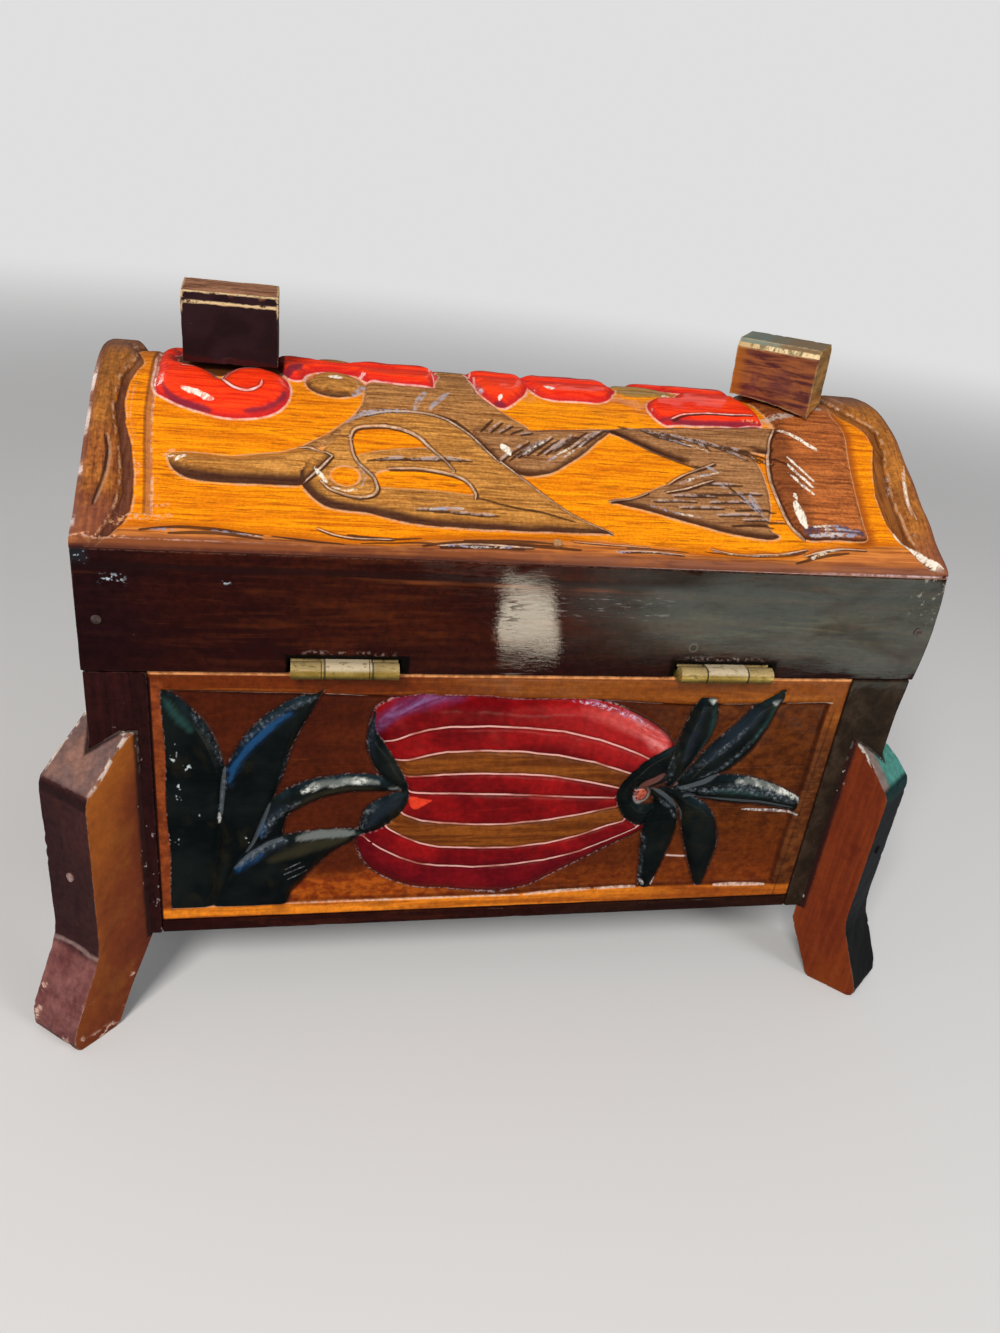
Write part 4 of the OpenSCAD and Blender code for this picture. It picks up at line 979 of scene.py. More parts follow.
def make_lid():
    nx = 427
    nb = 152
    xs = np.linspace(LID_X0, LID_X1, nx)
    s_back = np.linspace(0, S_CROWN, nb)
    s_front = np.linspace(S_CROWN, 2 * S_CROWN, 72)[1:]
    ss = np.concatenate([s_back, s_front])
    X, S = np.meshgrid(xs, ss, indexing="ij")
    back = S <= S_CROWN
    SM = np.minimum(S, 2 * S_CROWN - S)
    A = -X
    d1 = lid_design(A[:, :nb].ravel(), SM[:, :nb].ravel(), SM[:, :nb].ravel(), False)
    d2 = lid_design(A[:, nb:].ravel(), SM[:, nb:].ravel(), SM[:, nb:].ravel(), False)
    d = {k: np.concatenate([d1[k].reshape(nx, -1), d2[k].reshape(nx, -1)], 1) for k in d1}
    h = d.pop("h")
    y, z, ny, nz = arch(SM)
    # the arris itself is a small round from the upright edge to the slope
    turn = math.pi / 2 - SLOPE
    tl = 1.25
    rr = tl / math.tan(turn / 2)
    u = np.clip(SM / tl, 0, 1)
    ph = u * turn
    ya = HALF_Y - rr + rr * np.cos(ph)
    za = ARRIS_Z - tl + rr * np.sin(ph)
    near = SM < tl
    y, z = np.where(near, ya, y), np.where(near, za, z)
    ny, nz = np.where(near, np.cos(ph), ny), np.where(near, np.sin(ph), nz)
    h = soften(h) * np.clip(SM / 2.5, 0, 1)
    sgn = np.where(back, 1.0, -1.0)
    Y = sgn * (y + h * ny)
    Z = z + h * nz
    Y = np.clip(Y, -HALF_Y, HALF_Y)
    top = np.stack([X, Y, Z], -1) * MM
    y0, z0, _, _ = arch(np.minimum(ss, 2 * S_CROWN - ss))
    off = 8.0
    ang = np.arcsin(np.clip(y0 / (ARC_R - off), -1, 1))
    arc_in = ARC_Z0 + (ARC_R - off) * np.cos(ang)
    ly = (HALF_Y - RUN) - off * math.sin(SLOPE)
    lz = ARC_Z0 + (ARC_R - off) * math.cos(SLOPE)
    line_in = lz - (y0 - ly) * math.tan(SLOPE)
    z_in = np.maximum(np.where(y0 < ly, arc_in, line_in), RAIL_TOP)
    z_in = np.where(y0 > 48, RAIL_TOP, z_in)
    sg = np.where(ss <= S_CROWN, 1.0, -1.0)
    bl = np.stack([np.full(len(ss), LID_X0), sg * y0, z_in], -1) * MM
    br = np.stack([np.full(len(ss), LID_X1), sg * y0, z_in], -1) * MM
    top = top[::-1]
    d = {k: v[::-1] for k, v in d.items()}
    ob, luv, lv, nl = grid_solid("carved_lid_top", top, br, bl, d, {"arr": 0.0, "rim": -3.0, "bord": -3.0, "low": 0.0})
    finish_uv(ob, luv, lv, nl)
    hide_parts("lid_top")
    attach(ob, "lid")
    return ob


# ------------------------------------------------------------------ boards, feet, blocks: softened, worn copies
def worn_copy(node, name, width=0.6, seg=3, maxlen=3.0, rough=0.06, chips=0.25, seed=1, keep=None, shape=None, extra=None):
    src = NODES[node].data
    bm = bmesh.new()
    bm.from_mesh(src)
    bmesh.ops.remove_doubles(bm, verts=bm.verts, dist=2e-6)
    bmesh.ops.dissolve_limit(bm, angle_limit=math.radians(1.5), verts=bm.verts, edges=bm.edges)
    bm.edges.ensure_lookup_table()
    sharp = []
    segs = []
    for e in bm.edges:
        if len(e.link_faces) == 2 and e.calc_face_angle(0) > math.radians(28):
            mid = (e.verts[0].co + e.verts[1].co) / 2
            if keep is not None and not keep(e, mid):
                continue
            if e.calc_face_angle_signed(0) < 0:
                continue
            sharp.append(e)
            segs.append((e.verts[0].co.copy(), e.verts[1].co.copy()))
    if sharp:
        bmesh.ops.bevel(bm, geom=sharp, offset=width * MM, offset_type="OFFSET", segments=seg, profile=0.5, affect="EDGES", clamp_overlap=True)
    bmesh.ops.triangulate(bm, faces=bm.faces)
    for _ in range(6):
        long = [e for e in bm.edges if e.calc_length() > maxlen * MM]
        if not long:
            break
        bmesh.ops.subdivide_edges(bm, edges=long, cuts=1, use_grid_fill=False)
        bmesh.ops.triangulate(bm, faces=[f for f in bm.faces if len(f.verts) > 3])
    me = bpy.data.meshes.new(name)
    bm.normal_update()
    bm.to_mesh(me)
    bm.free()
    co = np.zeros(len(me.vertices) * 3)
    me.vertices.foreach_get("co", co)
    co = co.reshape(-1, 3) / MM
    nr = np.zeros(len(me.vertices) * 3)
    me.vertices.foreach_get("normal", nr)
    nr = nr.reshape(-1, 3)
    dist = np.full(len(co), 20.0)
    for p, q in segs:
        p = np.array(p) / MM
        q = np.array(q) / MM
        v = q - p
        t = np.clip(((co - p) @ v) / (v @ v + 1e-12), 0, 1)
        dist = np.minimum(dist, np.sqrt(((co - p - t[:, None] * v) ** 2).sum(1)))
    n1 = wob(co[:, 0] + co[:, 2] * 0.3, co[:, 1] + co[:, 2], 9, seed)
    n2 = wob(co[:, 0] - co[:, 1], co[:, 2] * 1.3 + co[:, 1], 3.2, seed + 9)
    disp = rough * n1 - chips * np.clip(n2 * 0.7 + n1 * 0.5 - 0.35, 0, 1) * np.exp(-(dist / 1.1) ** 2)
    disp = np.minimum(disp, 0.0) - 0.0
    co2 = co + nr * disp[:, None]
    if shape is not None:
        co2 = shape(co2)
    co2 = co2 * MM
    me.vertices.foreach_set("co", co2.astype(np.float32).ravel())
    me.polygons.foreach_set("use_smooth", [True] * len(me.polygons))
    me.update()
    add_attr(me, "edge", np.clip(dist, 0, 20))
    if extra is not None:
        for k, v in extra(co).items():
            add_attr(me, k, v)
    ob = bpy.data.objects.new(name, me)
    bpy.context.scene.collection.objects.link(ob)
    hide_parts(node)
    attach(ob, NODES[node]["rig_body"])
    return ob


def sharpen(ob, deg=50):
    """shading weighted by face area, split where faces meet at more than deg"""
    me = ob.data
    nf, nv, nl = len(me.polygons), len(me.vertices), len(me.loops)
    fn, fa, start = np.zeros(nf * 3), np.zeros(nf), np.zeros(nf, np.int32)
    me.polygons.foreach_get("normal", fn)
    me.polygons.foreach_get("area", fa)
    me.polygons.foreach_get("loop_start", start)
    fn = fn.reshape(-1, 3)
    lv = np.zeros(nl, np.int32)
    me.loops.foreach_get("vertex_index", lv)
    lf = np.zeros(nl, np.int32)
    lf[start] = 1
    lf = np.cumsum(lf) - 1
    order = np.argsort(lv, kind="stable")
    count = np.bincount(lv, minlength=nv)
    first = np.concatenate([[0], np.cumsum(count)[:-1]])
    table = np.full((nv, count.max()), -1)
    table[lv[order], np.arange(nl) - first[lv[order]]] = lf[order]
    out = np.zeros((nl, 3))
    own = fn[lf]
    for k in range(table.shape[1]):
        f = table[lv, k]
        other = fn[f]
        w = np.where((f >= 0) & ((other * own).sum(1) > math.cos(math.radians(deg))), fa[f], 0.0)
        out += other * w[:, None]
    out /= np.linalg.norm(out, axis=1)[:, None] + 1e-20
    me.normals_split_custom_set(out.tolist())


# ------------------------------------------------------------------ materials
def varnish_bump(g, amount=0.00006, scale=260.0, extra=None):
    n = g.noise(g.scaled(scale, scale, scale), 1.0, 2.0, 0.5)
    return g.bump(n, 1.0, amount, extra)


def mat_dark_rail():
    g = Graph("dark_stained_wood")
    x, y, z = g.xyz()
    outer = g.step(y, 0.0555, 0.0572)      # the marked face with the hinges
    gr = g.noise(g.scaled(45, 700, 700), 1.0, 4.0, 0.65, 0.5)
    big = g.noise(g.scaled(16, 60, 75), 1.0, 3.0, 0.6, 0.5)
    blot = g.noise(g.scaled(34, 200, 260), 1.0, 3.0, 0.6, 0.3)
    col = g.mix(g.step(big, 0.35, 0.7), (0.016, 0.0016, 0.0013), (0.033, 0.0040, 0.0009))
    col = g.mix(g.mul(g.step(gr, 0.5, 0.72), 0.35), col, (0.078, 0.016, 0.002))
    col = g.mix(g.mul(g.step(gr, 0.46, 0.3), 0.5), col, (0.010, 0.0018, 0.0015))
    # lighter, warmer patches in the middle, darker ends
    mid = g.band(x, 0.004, 0.088, 0.012)
    col = g.mix(g.mul(g.mul(mid, g.step(blot, 0.5, 0.68)), 0.45), col, (0.085, 0.016, 0.002))
    col = g.mix(g.mul(g.step(x, 0.080, 0.1), 0.75), col, (0.009, 0.0014, 0.0026))
    col = g.mix(g.mul(g.step(x, 0.0, -0.03), 0.65), col, g.mix(g.step(blot, 0.45, 0.65), (0.010, 0.005, 0.003), (0.030, 0.013, 0.004)))
    # darker along the bottom of the rail: painted shade above the seam
    col = g.mix(g.mul(g.step(z, 0.112, 0.106), 0.5), col, (0.012, 0.0014, 0.0014))
    ol = g.mul(g.mul(g.band(x, -0.098, -0.036, 0.012), g.band(z, 0.1115, 0.1215, 0.003)), g.step(g.noise(g.scaled(40, 150, 380), 1.0, 4.0, 0.65, 0.6), 0.44, 0.66))
    col = g.mix(g.mul(ol, 0.6), col, (0.055, 0.044, 0.020))
    col = g.grit(col, 0.25, 520.0)
    # joint between the planed edge of the top and the rail
    zl = g.add(z, g.mul(g.maxi(g.sub(0.016, x), 0.0), 0.024))
    wv = g.mul(g.sub(g.noise(g.scaled(30, 30, 30), 1.0, 2.0, 0.5), 0.5), 0.0012)
    zl = g.add(zl, wv)
    jl = g.step(g.noise(g.scaled(34, 60, 200), 1.0, 3.0, 0.6), 0.42, 0.62)
    near = g.band(x, -0.02, 0.05, 0.012)
    col = g.mix(g.mul(g.band(zl, 0.1262, 0.1272, 0.0003), g.mul(jl, g.add(g.mul(g.step(x, -0.035, -0.01), 0.16), g.mul(near, 0.55)))), col, (0.15, 0.038, 0.009))
    col = g.mix(g.mul(g.band(zl, 0.1273, 0.1289, 0.0004), 0.6), col, (0.011, 0.003, 0.003))
    e = g.attr("edge")
    wn = g.noise(g.scaled(420, 420, 420), 1.0, 4.0, 0.65)
    upper = g.step(z, 0.118, 0.128)
    worn = g.mul(g.step(g.add(e, g.mul(wn, 1.6)), 1.25, 0.85), g.step(wn, 0.42, 0.62))
    col = g.mix(g.mul(worn, g.add(0.12, g.mul(upper, 0.45))), col, (0.34, 0.17, 0.11))
    # scuffs near one upper corner and torn varnish over the hinges
    tiny = g.noise(g.scaled(700, 700, 900), 1.0, 3.0, 0.6)
    sc = g.mul(outer, g.mul(g.band(x, 0.0955, 0.1000, 0.0012), g.band(z, 0.1240, 0.1262, 0.0008)))
    sc = g.maxi(sc, g.mul(outer, g.mul(g.band(x, 0.073, 0.0745, 0.0005), g.band(z, 0.1247, 0.1254, 0.0004))))
    sc2 = g.mul(outer, g.mul(g.band(x, 0.1025, 0.108, 0.0008), g.band(z, 0.1290, 0.133, 0.0008)))
    col = g.mix(g.mul(sc2, 0.7), col, (0.012, 0.014, 0.018))
    col = g.mix(g.mul(sc, g.step(tiny, 0.54, 0.60)), col, (0.36, 0.42, 0.46))
    col = g.mix(g.mul(sc2, g.step(tiny, 0.60, 0.66)), col, (0.30, 0.36, 0.40))
    sm = g.mul(g.mul(g.band(x, -0.034, 0.006, 0.006), g.band(z, 0.1185, 0.1245, 0.0015)), g.step(g.noise(g.scaled(180, 700, 1500), 1.0, 3.0, 0.6), 0.58, 0.66))
    col = g.mix(g.mul(g.mul(sm, outer), 0.45), col, (0.22, 0.21, 0.20))
    cn = g.mul(g.mul(g.mul(outer, g.step(g.add(x, g.mul(g.sub(big, 0.5), 0.01)), -0.096, -0.103)), g.step(z, 0.1170, 0.1235)), g.step(g.noise(g.scaled(520, 700, 420), 1.0, 3.0, 0.6), 0.58, 0.65))
    col = g.mix(g.mul(cn, 0.5), col, (0.34, 0.30, 0.24))
    hx = g.mini(g.math("ABSOLUTE", g.sub(x, 0.046)), g.math("ABSOLUTE", g.add(x, 0.0504)))
    # painted black shadow in the gap round each hinge
    hinge_gap_shadow = g.mul(g.mul(outer, g.step(z, 0.098, 0.101)), g.mul(g.step(g.add(hx, g.mul(g.sub(tiny, 0.5), 0.0015)), 0.0150, 0.0143), g.step(g.add(z, g.mul(g.sub(tiny, 0.5), 0.0012)), 0.1076, 0.1071)))
    col = g.mix(hinge_gap_shadow, col, (0.0035, 0.0025, 0.002))
    tear = g.mul(g.mul(outer, g.step(hx, 0.0125, 0.0085)), g.band(z, 0.1074, 0.1084, 0.0004))
    col = g.mix(g.mul(tear, g.step(tiny, 0.52, 0.60)), col, (0.15, 0.10, 0.085))
    rn = g.math("SQRT", g.add(g.math("POWER", g.add(x, 0.0408), 2.0), g.math("POWER", g.sub(z, 0.1110), 2.0)))
    col = g.mix(g.mul(g.mul(outer, g.band(rn, 0.00085, 0.00125, 0.0002)), 0.6), col, (0.10, 0.085, 0.07))
    col = g.mix(g.mul(g.mul(outer, g.step(rn, 0.0009, 0.0007)), 0.6), col, (0.012, 0.009, 0.008))
    spk = g.step(g.noise(g.scaled(900, 900, 900), 1.0, 1.0, 0.5), 0.8, 0.83)
    col = g.mix(g.mul(spk, 0.3), col, (0.3, 0.2, 0.15))
    bump = g.bump(g.add(g.mul(gr, 0.6), g.mul(big, 0.5)), 0.5, 0.0001)
    ripple = g.noise(g.scaled(330, 900, 1500), 1.0, 4.0, 0.75, 0.5)
    soft = g.noise(g.scaled(40, 60, 90), 1.0, 2.0, 0.5)
    cb = g.bump(g.add(g.mul(ripple, 0.11), g.mul(soft, 0.12)), 1.0, 0.0001)
    m = g.surface(col, 0.5, bump, coat=1.0, coat_rough=0.018, coat_normal=cb, spec=0.05)
    # the varnish is thin in the pits round the hinges
    b = next(n for n in g.nt.nodes if n.type == "BSDF_PRINCIPLED")
    pores = g.noise(g.scaled(240, 900, 1500), 1.0, 3.0, 0.65, 0.6)
    sunk = g.noise(g.scaled(34, 90, 120), 1.0, 3.0, 0.6, 0.6)
    upz = g.add(0.35, g.mul(g.step(z, 0.108, 0.122), 0.65))
    inwin = g.band(x, 0.006, 0.036, 0.004)
    thin = g.mul(g.mul(g.step(g.add(pores, g.mul(inwin, 0.02)), 0.55, 0.61), upz), g.add(0.16, g.mul(inwin, 0.72)))
    even = g.add(0.55, g.mul(g.step(g.sub(sunk, g.mul(g.step(x, -0.01, 0.006), -0.3)), 0.36, 0.62), 0.45))
    strip = g.mul(g.band(x, -0.040, 0.002, 0.008), g.step(g.add(z, g.mul(g.sub(sunk, 0.5), 0.004)), 0.1262, 0.1282))
    even = g.mul(even, g.sub(1.0, g.mul(strip, 0.6)))
    g.put(b.inputs["Coat Weight"], g.mul(g.mul(g.sub(1.0, g.mul(hinge_gap_shadow, 0.9)), g.sub(1.0, thin)), even))
    return m


def mat_end_wood():
    g = Graph("dark_end_wood")
    x, y, z = g.xyz()
    gr = grain_along(g, 2, 0.05, 1.0, 700.0, 2.3)
    big = g.noise(g.scaled(60, 60, 22), 1.0, 3.0, 0.6, 0.4)
    blot = g.noise(g.scaled(130, 130, 110), 1.0, 3.0, 0.6, 0.3)
    col = g.mix(g.step(gr, 0.3, 0.8), (0.015, 0.0024, 0.0026), (0.028, 0.0046, 0.0038))
    col = g.mix(g.mul(g.step(big, 0.5, 0.72), 0.5), col, (0.055, 0.010, 0.005))
    e = g.attr("edge")
    wn = g.noise(g.scaled(420, 420, 420), 1.0, 4.0, 0.65)
    worn = g.mul(g.step(g.add(e, g.mul(wn, 1.6)), 1.3, 0.85), g.step(wn, 0.45, 0.62))
    top = g.band(z, 0.0995, 0.1026, 0.0012)
    col = g.mix(g.mul(worn, g.add(0.3, g.mul(top, 0.5))), col, (0.32, 0.17, 0.12))
    # flecks of paint and varnish down the joints
    spn = g.noise(g.scaled(620, 620, 420), 1.0, 2.0, 0.5)
    low = g.step(z, 0.075, 0.045)
    spk = g.step(g.add(spn, g.mul(low, 0.07)), 0.74, 0.78)
    corner = g.add(0.06, g.mul(g.step(g.math("ABSOLUTE", y), 0.050, 0.0565), 0.94))
    col = g.mix(g.mul(g.mul(spk, corner), 0.55), col, (0.32, 0.27, 0.26))
    bump = g.bump(g.add(g.mul(gr, 0.6), g.mul(big, 0.5)), 0.5, 0.00012)
    left = g.step(x, -0.02, -0.06)
    lc = g.mix(g.step(blot, 0.4, 0.65), (0.017, 0.0115, 0.0065), (0.036, 0.023, 0.013))
    col = g.mix(g.mul(left, 0.85), col, lc)
    col = g.mix(g.mul(g.mul(left, worn), 0.6), col, (0.16, 0.12, 0.07))
    col = g.grit(col, 0.25, 600.0)
    cb = varnish_bump(g, 0.00005, 260.0)
    m = g.surface(col, 0.5, bump, coat=1.0, coat_rough=0.08, coat_normal=cb, spec=0.08)
    b = next(n for n in g.nt.nodes if n.type == "BSDF_PRINCIPLED")
    g.put(b.inputs["Coat Weight"], g.lerp(left, 0.9, 0.32))
    return m


def mat_foot(side, right):
    g = Graph("foot_%s_%s" % ("side" if side else "outer", "r" if right else "l"))
    gr = grain_along(g, 2, 0.06, 1.0, 600.0, 4.0, 0.3)
    big = g.noise(g.scaled(45, 45, 18), 1.0, 3.0, 0.6, 0.5)
    blot = g.noise(g.scaled(110, 110, 90), 1.0, 3.0, 0.6, 0.3)
    x, y, z = g.xyz()
    fu, e = g.attr("fu"), g.attr("edge")
    wn = g.noise(g.scaled(330, 330, 330), 1.0, 4.0, 0.65)
    if side and right:
        t = g.add(g.mul(g.sub(z, 0.045), 14.0), g.add(g.mul(fu, 0.03), g.mul(g.sub(big, 0.5), 1.6)))
        col = g.mix(g.step(t, -0.5, 0.7), (0.150, 0.027, 0.0075), (0.285, 0.072, 0.0085))
        col = g.mix(g.mul(g.step(blot, 0.5, 0.66), 0.35), col, (0.26, 0.080, 0.010))
        col = g.mix(g.mul(g.step(blot, 0.46, 0.3), 0.45), col, (0.10, 0.018, 0.006))
        col = g.mix(g.mul(g.step(fu, -1.5, -6.5), 0.55), col, (0.085, 0.014, 0.008))
        col = g.mix(g.mul(g.step(g.add(z, g.mul(g.sub(big, 0.5), 0.02)), 0.066, 0.086), 0.6), col, (0.40, 0.108, 0.011))
    elif side:
        col = g.mix(g.step(gr, 0.3, 0.72), (0.125, 0.0165, 0.003), (0.19, 0.030, 0.0045))
        col = g.mix(g.mul(g.step(big, 0.5, 0.7), 0.5), col, (0.23, 0.045, 0.004))
        col = g.mix(g.mul(g.step(blot, 0.42, 0.28), 0.5), col, (0.10, 0.010, 0.004))
    elif right:
        col = g.mix(g.step(big, 0.35, 0.7), (0.030, 0.0085, 0.009), (0.055, 0.017, 0.015))
        # sawn bevel above the knee, coloured grey-pink as a painted reflection, flared toe below the ankle
        bev = g.mul(g.step(z, 0.0735, 0.075), g.step(g.facing(0, 0, 1), 0.3, 0.5))
        bc = g.mix(g.step(blot, 0.4, 0.65), (0.150, 0.088, 0.080), (0.235, 0.118, 0.088))
        col = g.mix(bev, col, bc)
        toe = g.step(g.add(z, g.mul(g.sub(wn, 0.5), 0.002)), 0.0262, 0.0235)
        tc = g.mix(g.step(blot, 0.35, 0.7), (0.120, 0.035, 0.033), (0.215, 0.082, 0.074))
        col = g.mix(toe, col, tc)
        # pale band at the ankle: a painted highlight
        ank = g.band(g.add(z, g.mul(g.sub(blot, 0.5), 0.003)), 0.0255, 0.0265, 0.0004)
        col = g.mix(g.mul(ank, 0.55), col, (0.33, 0.21, 0.19))
        # dark line under the knee: painted shade
        kn = g.band(z, 0.0705, 0.0735, 0.0006)
        col = g.mix(g.mul(kn, 0.8), col, (0.018, 0.006, 0.006))
    else:
        col = g.mix(g.step(big, 0.35, 0.7), (0.0040, 0.0040, 0.0040), (0.0088, 0.0084, 0.0084))
        # bevel coloured grey and teal as a painted reflection
        bev = g.mul(g.step(z, 0.0705, 0.072), g.step(g.facing(0, 0, 1), 0.3, 0.5))
        far = g.attr("fw")
        bc = g.mix(g.step(g.add(far, g.mul(g.sub(blot, 0.5), 4.0)), -4.8, -3.2), (0.20, 0.145, 0.125), (0.060, 0.215, 0.180))
        col = g.mix(bev, col, bc)
        # teal band at the top of the outer face: a painted reflection
        col = g.mix(g.mul(g.band(z, 0.0665, 0.071, 0.001), 0.8), col, (0.005, 0.035, 0.032))
    worn = g.mul(g.step(g.add(e, g.mul(wn, 2.4)), 1.7, 1.15), g.step(wn, 0.42, 0.62))
    toes = g.step(z, 0.022, 0.012)
    crest = g.step(z, 0.069, 0.073)
    amount = g.add(0.22 if right else 0.12, g.maxi(g.mul(toes, 0.55 if right else 0.3), g.mul(crest, 0.22)))
    col = g.mix(g.mul(worn, amount), col, (0.55, 0.38, 0.30) if right else (0.4, 0.33, 0.27))
    # dried varnish beads at the top
    bead = g.mul(g.mul(g.step(e, 0.95, 0.45), g.step(z, 0.072, 0.078)), g.step(g.noise(g.scaled(380, 380, 380), 1.0, 2.0, 0.5), 0.47, 0.56))
    col = g.mix(g.mul(bead, 0.8), col, (0.62, 0.5, 0.42) if right else (0.62, 0.60, 0.52))
    if right:
        sc = g.step(g.noise(g.scaled(150, 150, 210), 1.0, 4.0, 0.7), 0.57, 0.64)
        col = g.mix(g.mul(g.mul(toes, sc), g.step(e, 3.6, 1.6)), col, (0.62, 0.40, 0.31))
    col = g.grit(col, 0.1 if side else 0.22, 520.0)
    # stain darkens against the body
    jn = g.attr("joint")
    col = g.mix(g.mul(g.step(g.add(jn, g.mul(g.sub(wn, 0.5), 0.6)), 1.6, 0.7), 0.9), col, (0.012, 0.005, 0.005))
    jf = g.mul(g.step(jn, 1.4, 0.6), g.step(g.noise(g.scaled(620, 620, 420), 1.0, 2.0, 0.5), 0.66, 0.71))
    col = g.mix(g.mul(jf, 0.7), col, (0.46, 0.38, 0.34))
    bump = g.bump(g.add(g.mul(gr, 0.7), g.mul(big, 0.6)), 0.5, 0.00015)
    cb = varnish_bump(g, 0.0001, 150.0)
    return g.surface(col, 0.42, bump, coat=0.9, coat_rough=0.1, coat_normal=cb)


def top_plane(node):
    """normal and offset of a block's top face"""
    me = NODES[node].data
    f = max((p for p in me.polygons if p.normal.z > 0.95), key=lambda p: p.area)
    return f.normal.copy(), f.normal.dot(me.vertices[f.vertices[0]].co)


def mat_block(dark):
    g = Graph("crown_block_dark" if dark else "crown_block_brown")
    e = g.attr("edge")
    wn = g.noise(g.scaled(380, 380, 380), 1.0, 4.0, 0.65)
    blot = g.noise(g.scaled(110, 110, 110), 1.0, 3.0, 0.6, 0.3)
    yaw = 0.0 if dark else math.radians(40)
    fx, fy = math.sin(yaw), math.cos(yaw)
    loc = g.scaled(1, 1, 1, rot=(0, 0, yaw))
    front = g.step(g.facing(fx, fy, 0), 0.6, 0.75)
    topf = g.step(g.facing(0, 0, 1), 0.60, 0.80)
    chamf = g.step(g.facing(fx, fy, 1.0), 0.90, 0.96)
    if dark:
        lean = math.radians(10)
        col = g.mix(g.step(blot, 0.35, 0.7), (0.013, 0.0042, 0.0052), (0.024, 0.0085, 0.011))
        wave = g.noise(g.scaled(110, 800, 500, vec=loc), 1.0, 4.0, 0.65, 1.2)
        tcol = g.mix(g.step(wave, 0.38, 0.62), (0.16, 0.054, 0.022), (0.44, 0.20, 0.10))
        ccol = g.mix(g.step(wave, 0.35, 0.65), (0.09, 0.032, 0.017), (0.19, 0.082, 0.045))
        col = g.mix(topf, col, tcol)
        chamf = g.step(g.facing(0, math.cos(lean - math.radians(45)) * 0.9, 1.0), 0.955, 0.985)
        col = g.mix(g.mul(chamf, g.inv(g.step(g.facing(0, 0.18, 1), 0.985, 0.995))), col, ccol)
        z = g.xyz()[2]
        hi = g.step(z, 0.1745, 0.1765)
        worn = g.mul(g.mul(g.step(g.add(e, g.mul(wn, 1.2)), 1.2, 0.8), g.step(wn, 0.34, 0.5)), hi)
        col = g.mix(g.mul(worn, 0.9), col, (0.66, 0.46, 0.24))
        sp = g.step(g.noise(g.scaled(420, 420, 420), 1.0, 1.0, 0.5), 0.79, 0.81)
        col = g.mix(g.mul(sp, 0.5), col, (0.25, 0.2, 0.22))
    else:
        v = g.noise(g.scaled(90, 90, 620, vec=loc), 1.0, 4.0, 0.65, 0.7)
        lx = g.lin(math.cos(yaw), -math.sin(yaw), 0, 0.0767 * math.cos(yaw) + 0.0027 * math.sin(yaw))
        fcol = g.mix(g.step(v, 0.36, 0.62), (0.085, 0.020, 0.020), (0.30, 0.095, 0.03))
        fcol = g.mix(g.mul(g.step(blot, 0.5, 0.66), 0.7), fcol, (0.12, 0.032, 0.035))
        fcol = g.mix(g.mul(g.step(lx, 0.0075, 0.0105), 0.75), fcol, (0.36, 0.115, 0.012))
        scol = g.mix(g.step(v, 0.35, 0.65), (0.22, 0.095, 0.010), (0.54, 0.26, 0.045))
        tcol = g.mix(g.step(g.add(lx, g.mul(g.sub(blot, 0.5), 0.02)), -0.003, 0.004), (0.26, 0.17, 0.085), (0.19, 0.22, 0.17))
        tcol = g.mix(g.mul(g.step(blot, 0.5, 0.7), 0.6), tcol, (0.44, 0.35, 0.22))
        tcol = g.mix(g.mul(g.step(v, 0.42, 0.3), 0.4), tcol, (0.06, 0.045, 0.035))
        col = g.mix(front, scol, fcol)
        col = g.mix(topf, col, tcol)
        bd = g.step(g.noise(g.scaled(900, 200, 300, vec=loc), 1.0, 3.0, 0.65), 0.40, 0.56)
        cc = g.mix(bd, (0.22, 0.17, 0.085), (0.80, 0.60, 0.33))
        cc = g.mix(g.mul(g.step(lx, 0.002, 0.009), 0.55), cc, (0.36, 0.19, 0.06))
        tn, td = top_plane("lid_block_left")
        depth = g.add(g.lin(tn.x, tn.y, tn.z, -td), g.mul(g.sub(wn, 0.5), 0.0004))
        col = g.mix(chamf, col, g.mix(g.step(lx, -0.004, 0.004), g.mix(0.35, tcol, (0.10, 0.045, 0.02)), tcol))
        col = g.mix(g.mul(g.mul(chamf, g.step(depth, -0.0008, -0.0011)), g.step(wn, 0.26, 0.42)), col, cc)
        worn = g.mul(g.step(g.add(e, g.mul(wn, 1.6)), 1.35, 0.9), g.step(wn, 0.36, 0.55))
        col = g.mix(g.mul(worn, 0.45), col, (0.52, 0.38, 0.2))
        gr2 = g.mul(g.step(e, 0.9, 0.3), g.step(g.attr("edge"), 0.0, 0.01))
    bump = g.bump(g.add(g.mul(wn, 0.6), blot), 0.5, 0.00018)
    cb = varnish_bump(g, 0.00009, 190.0)
    return g.surface(col, 0.42, bump, coat=1.0, coat_rough=0.08, coat_normal=cb)


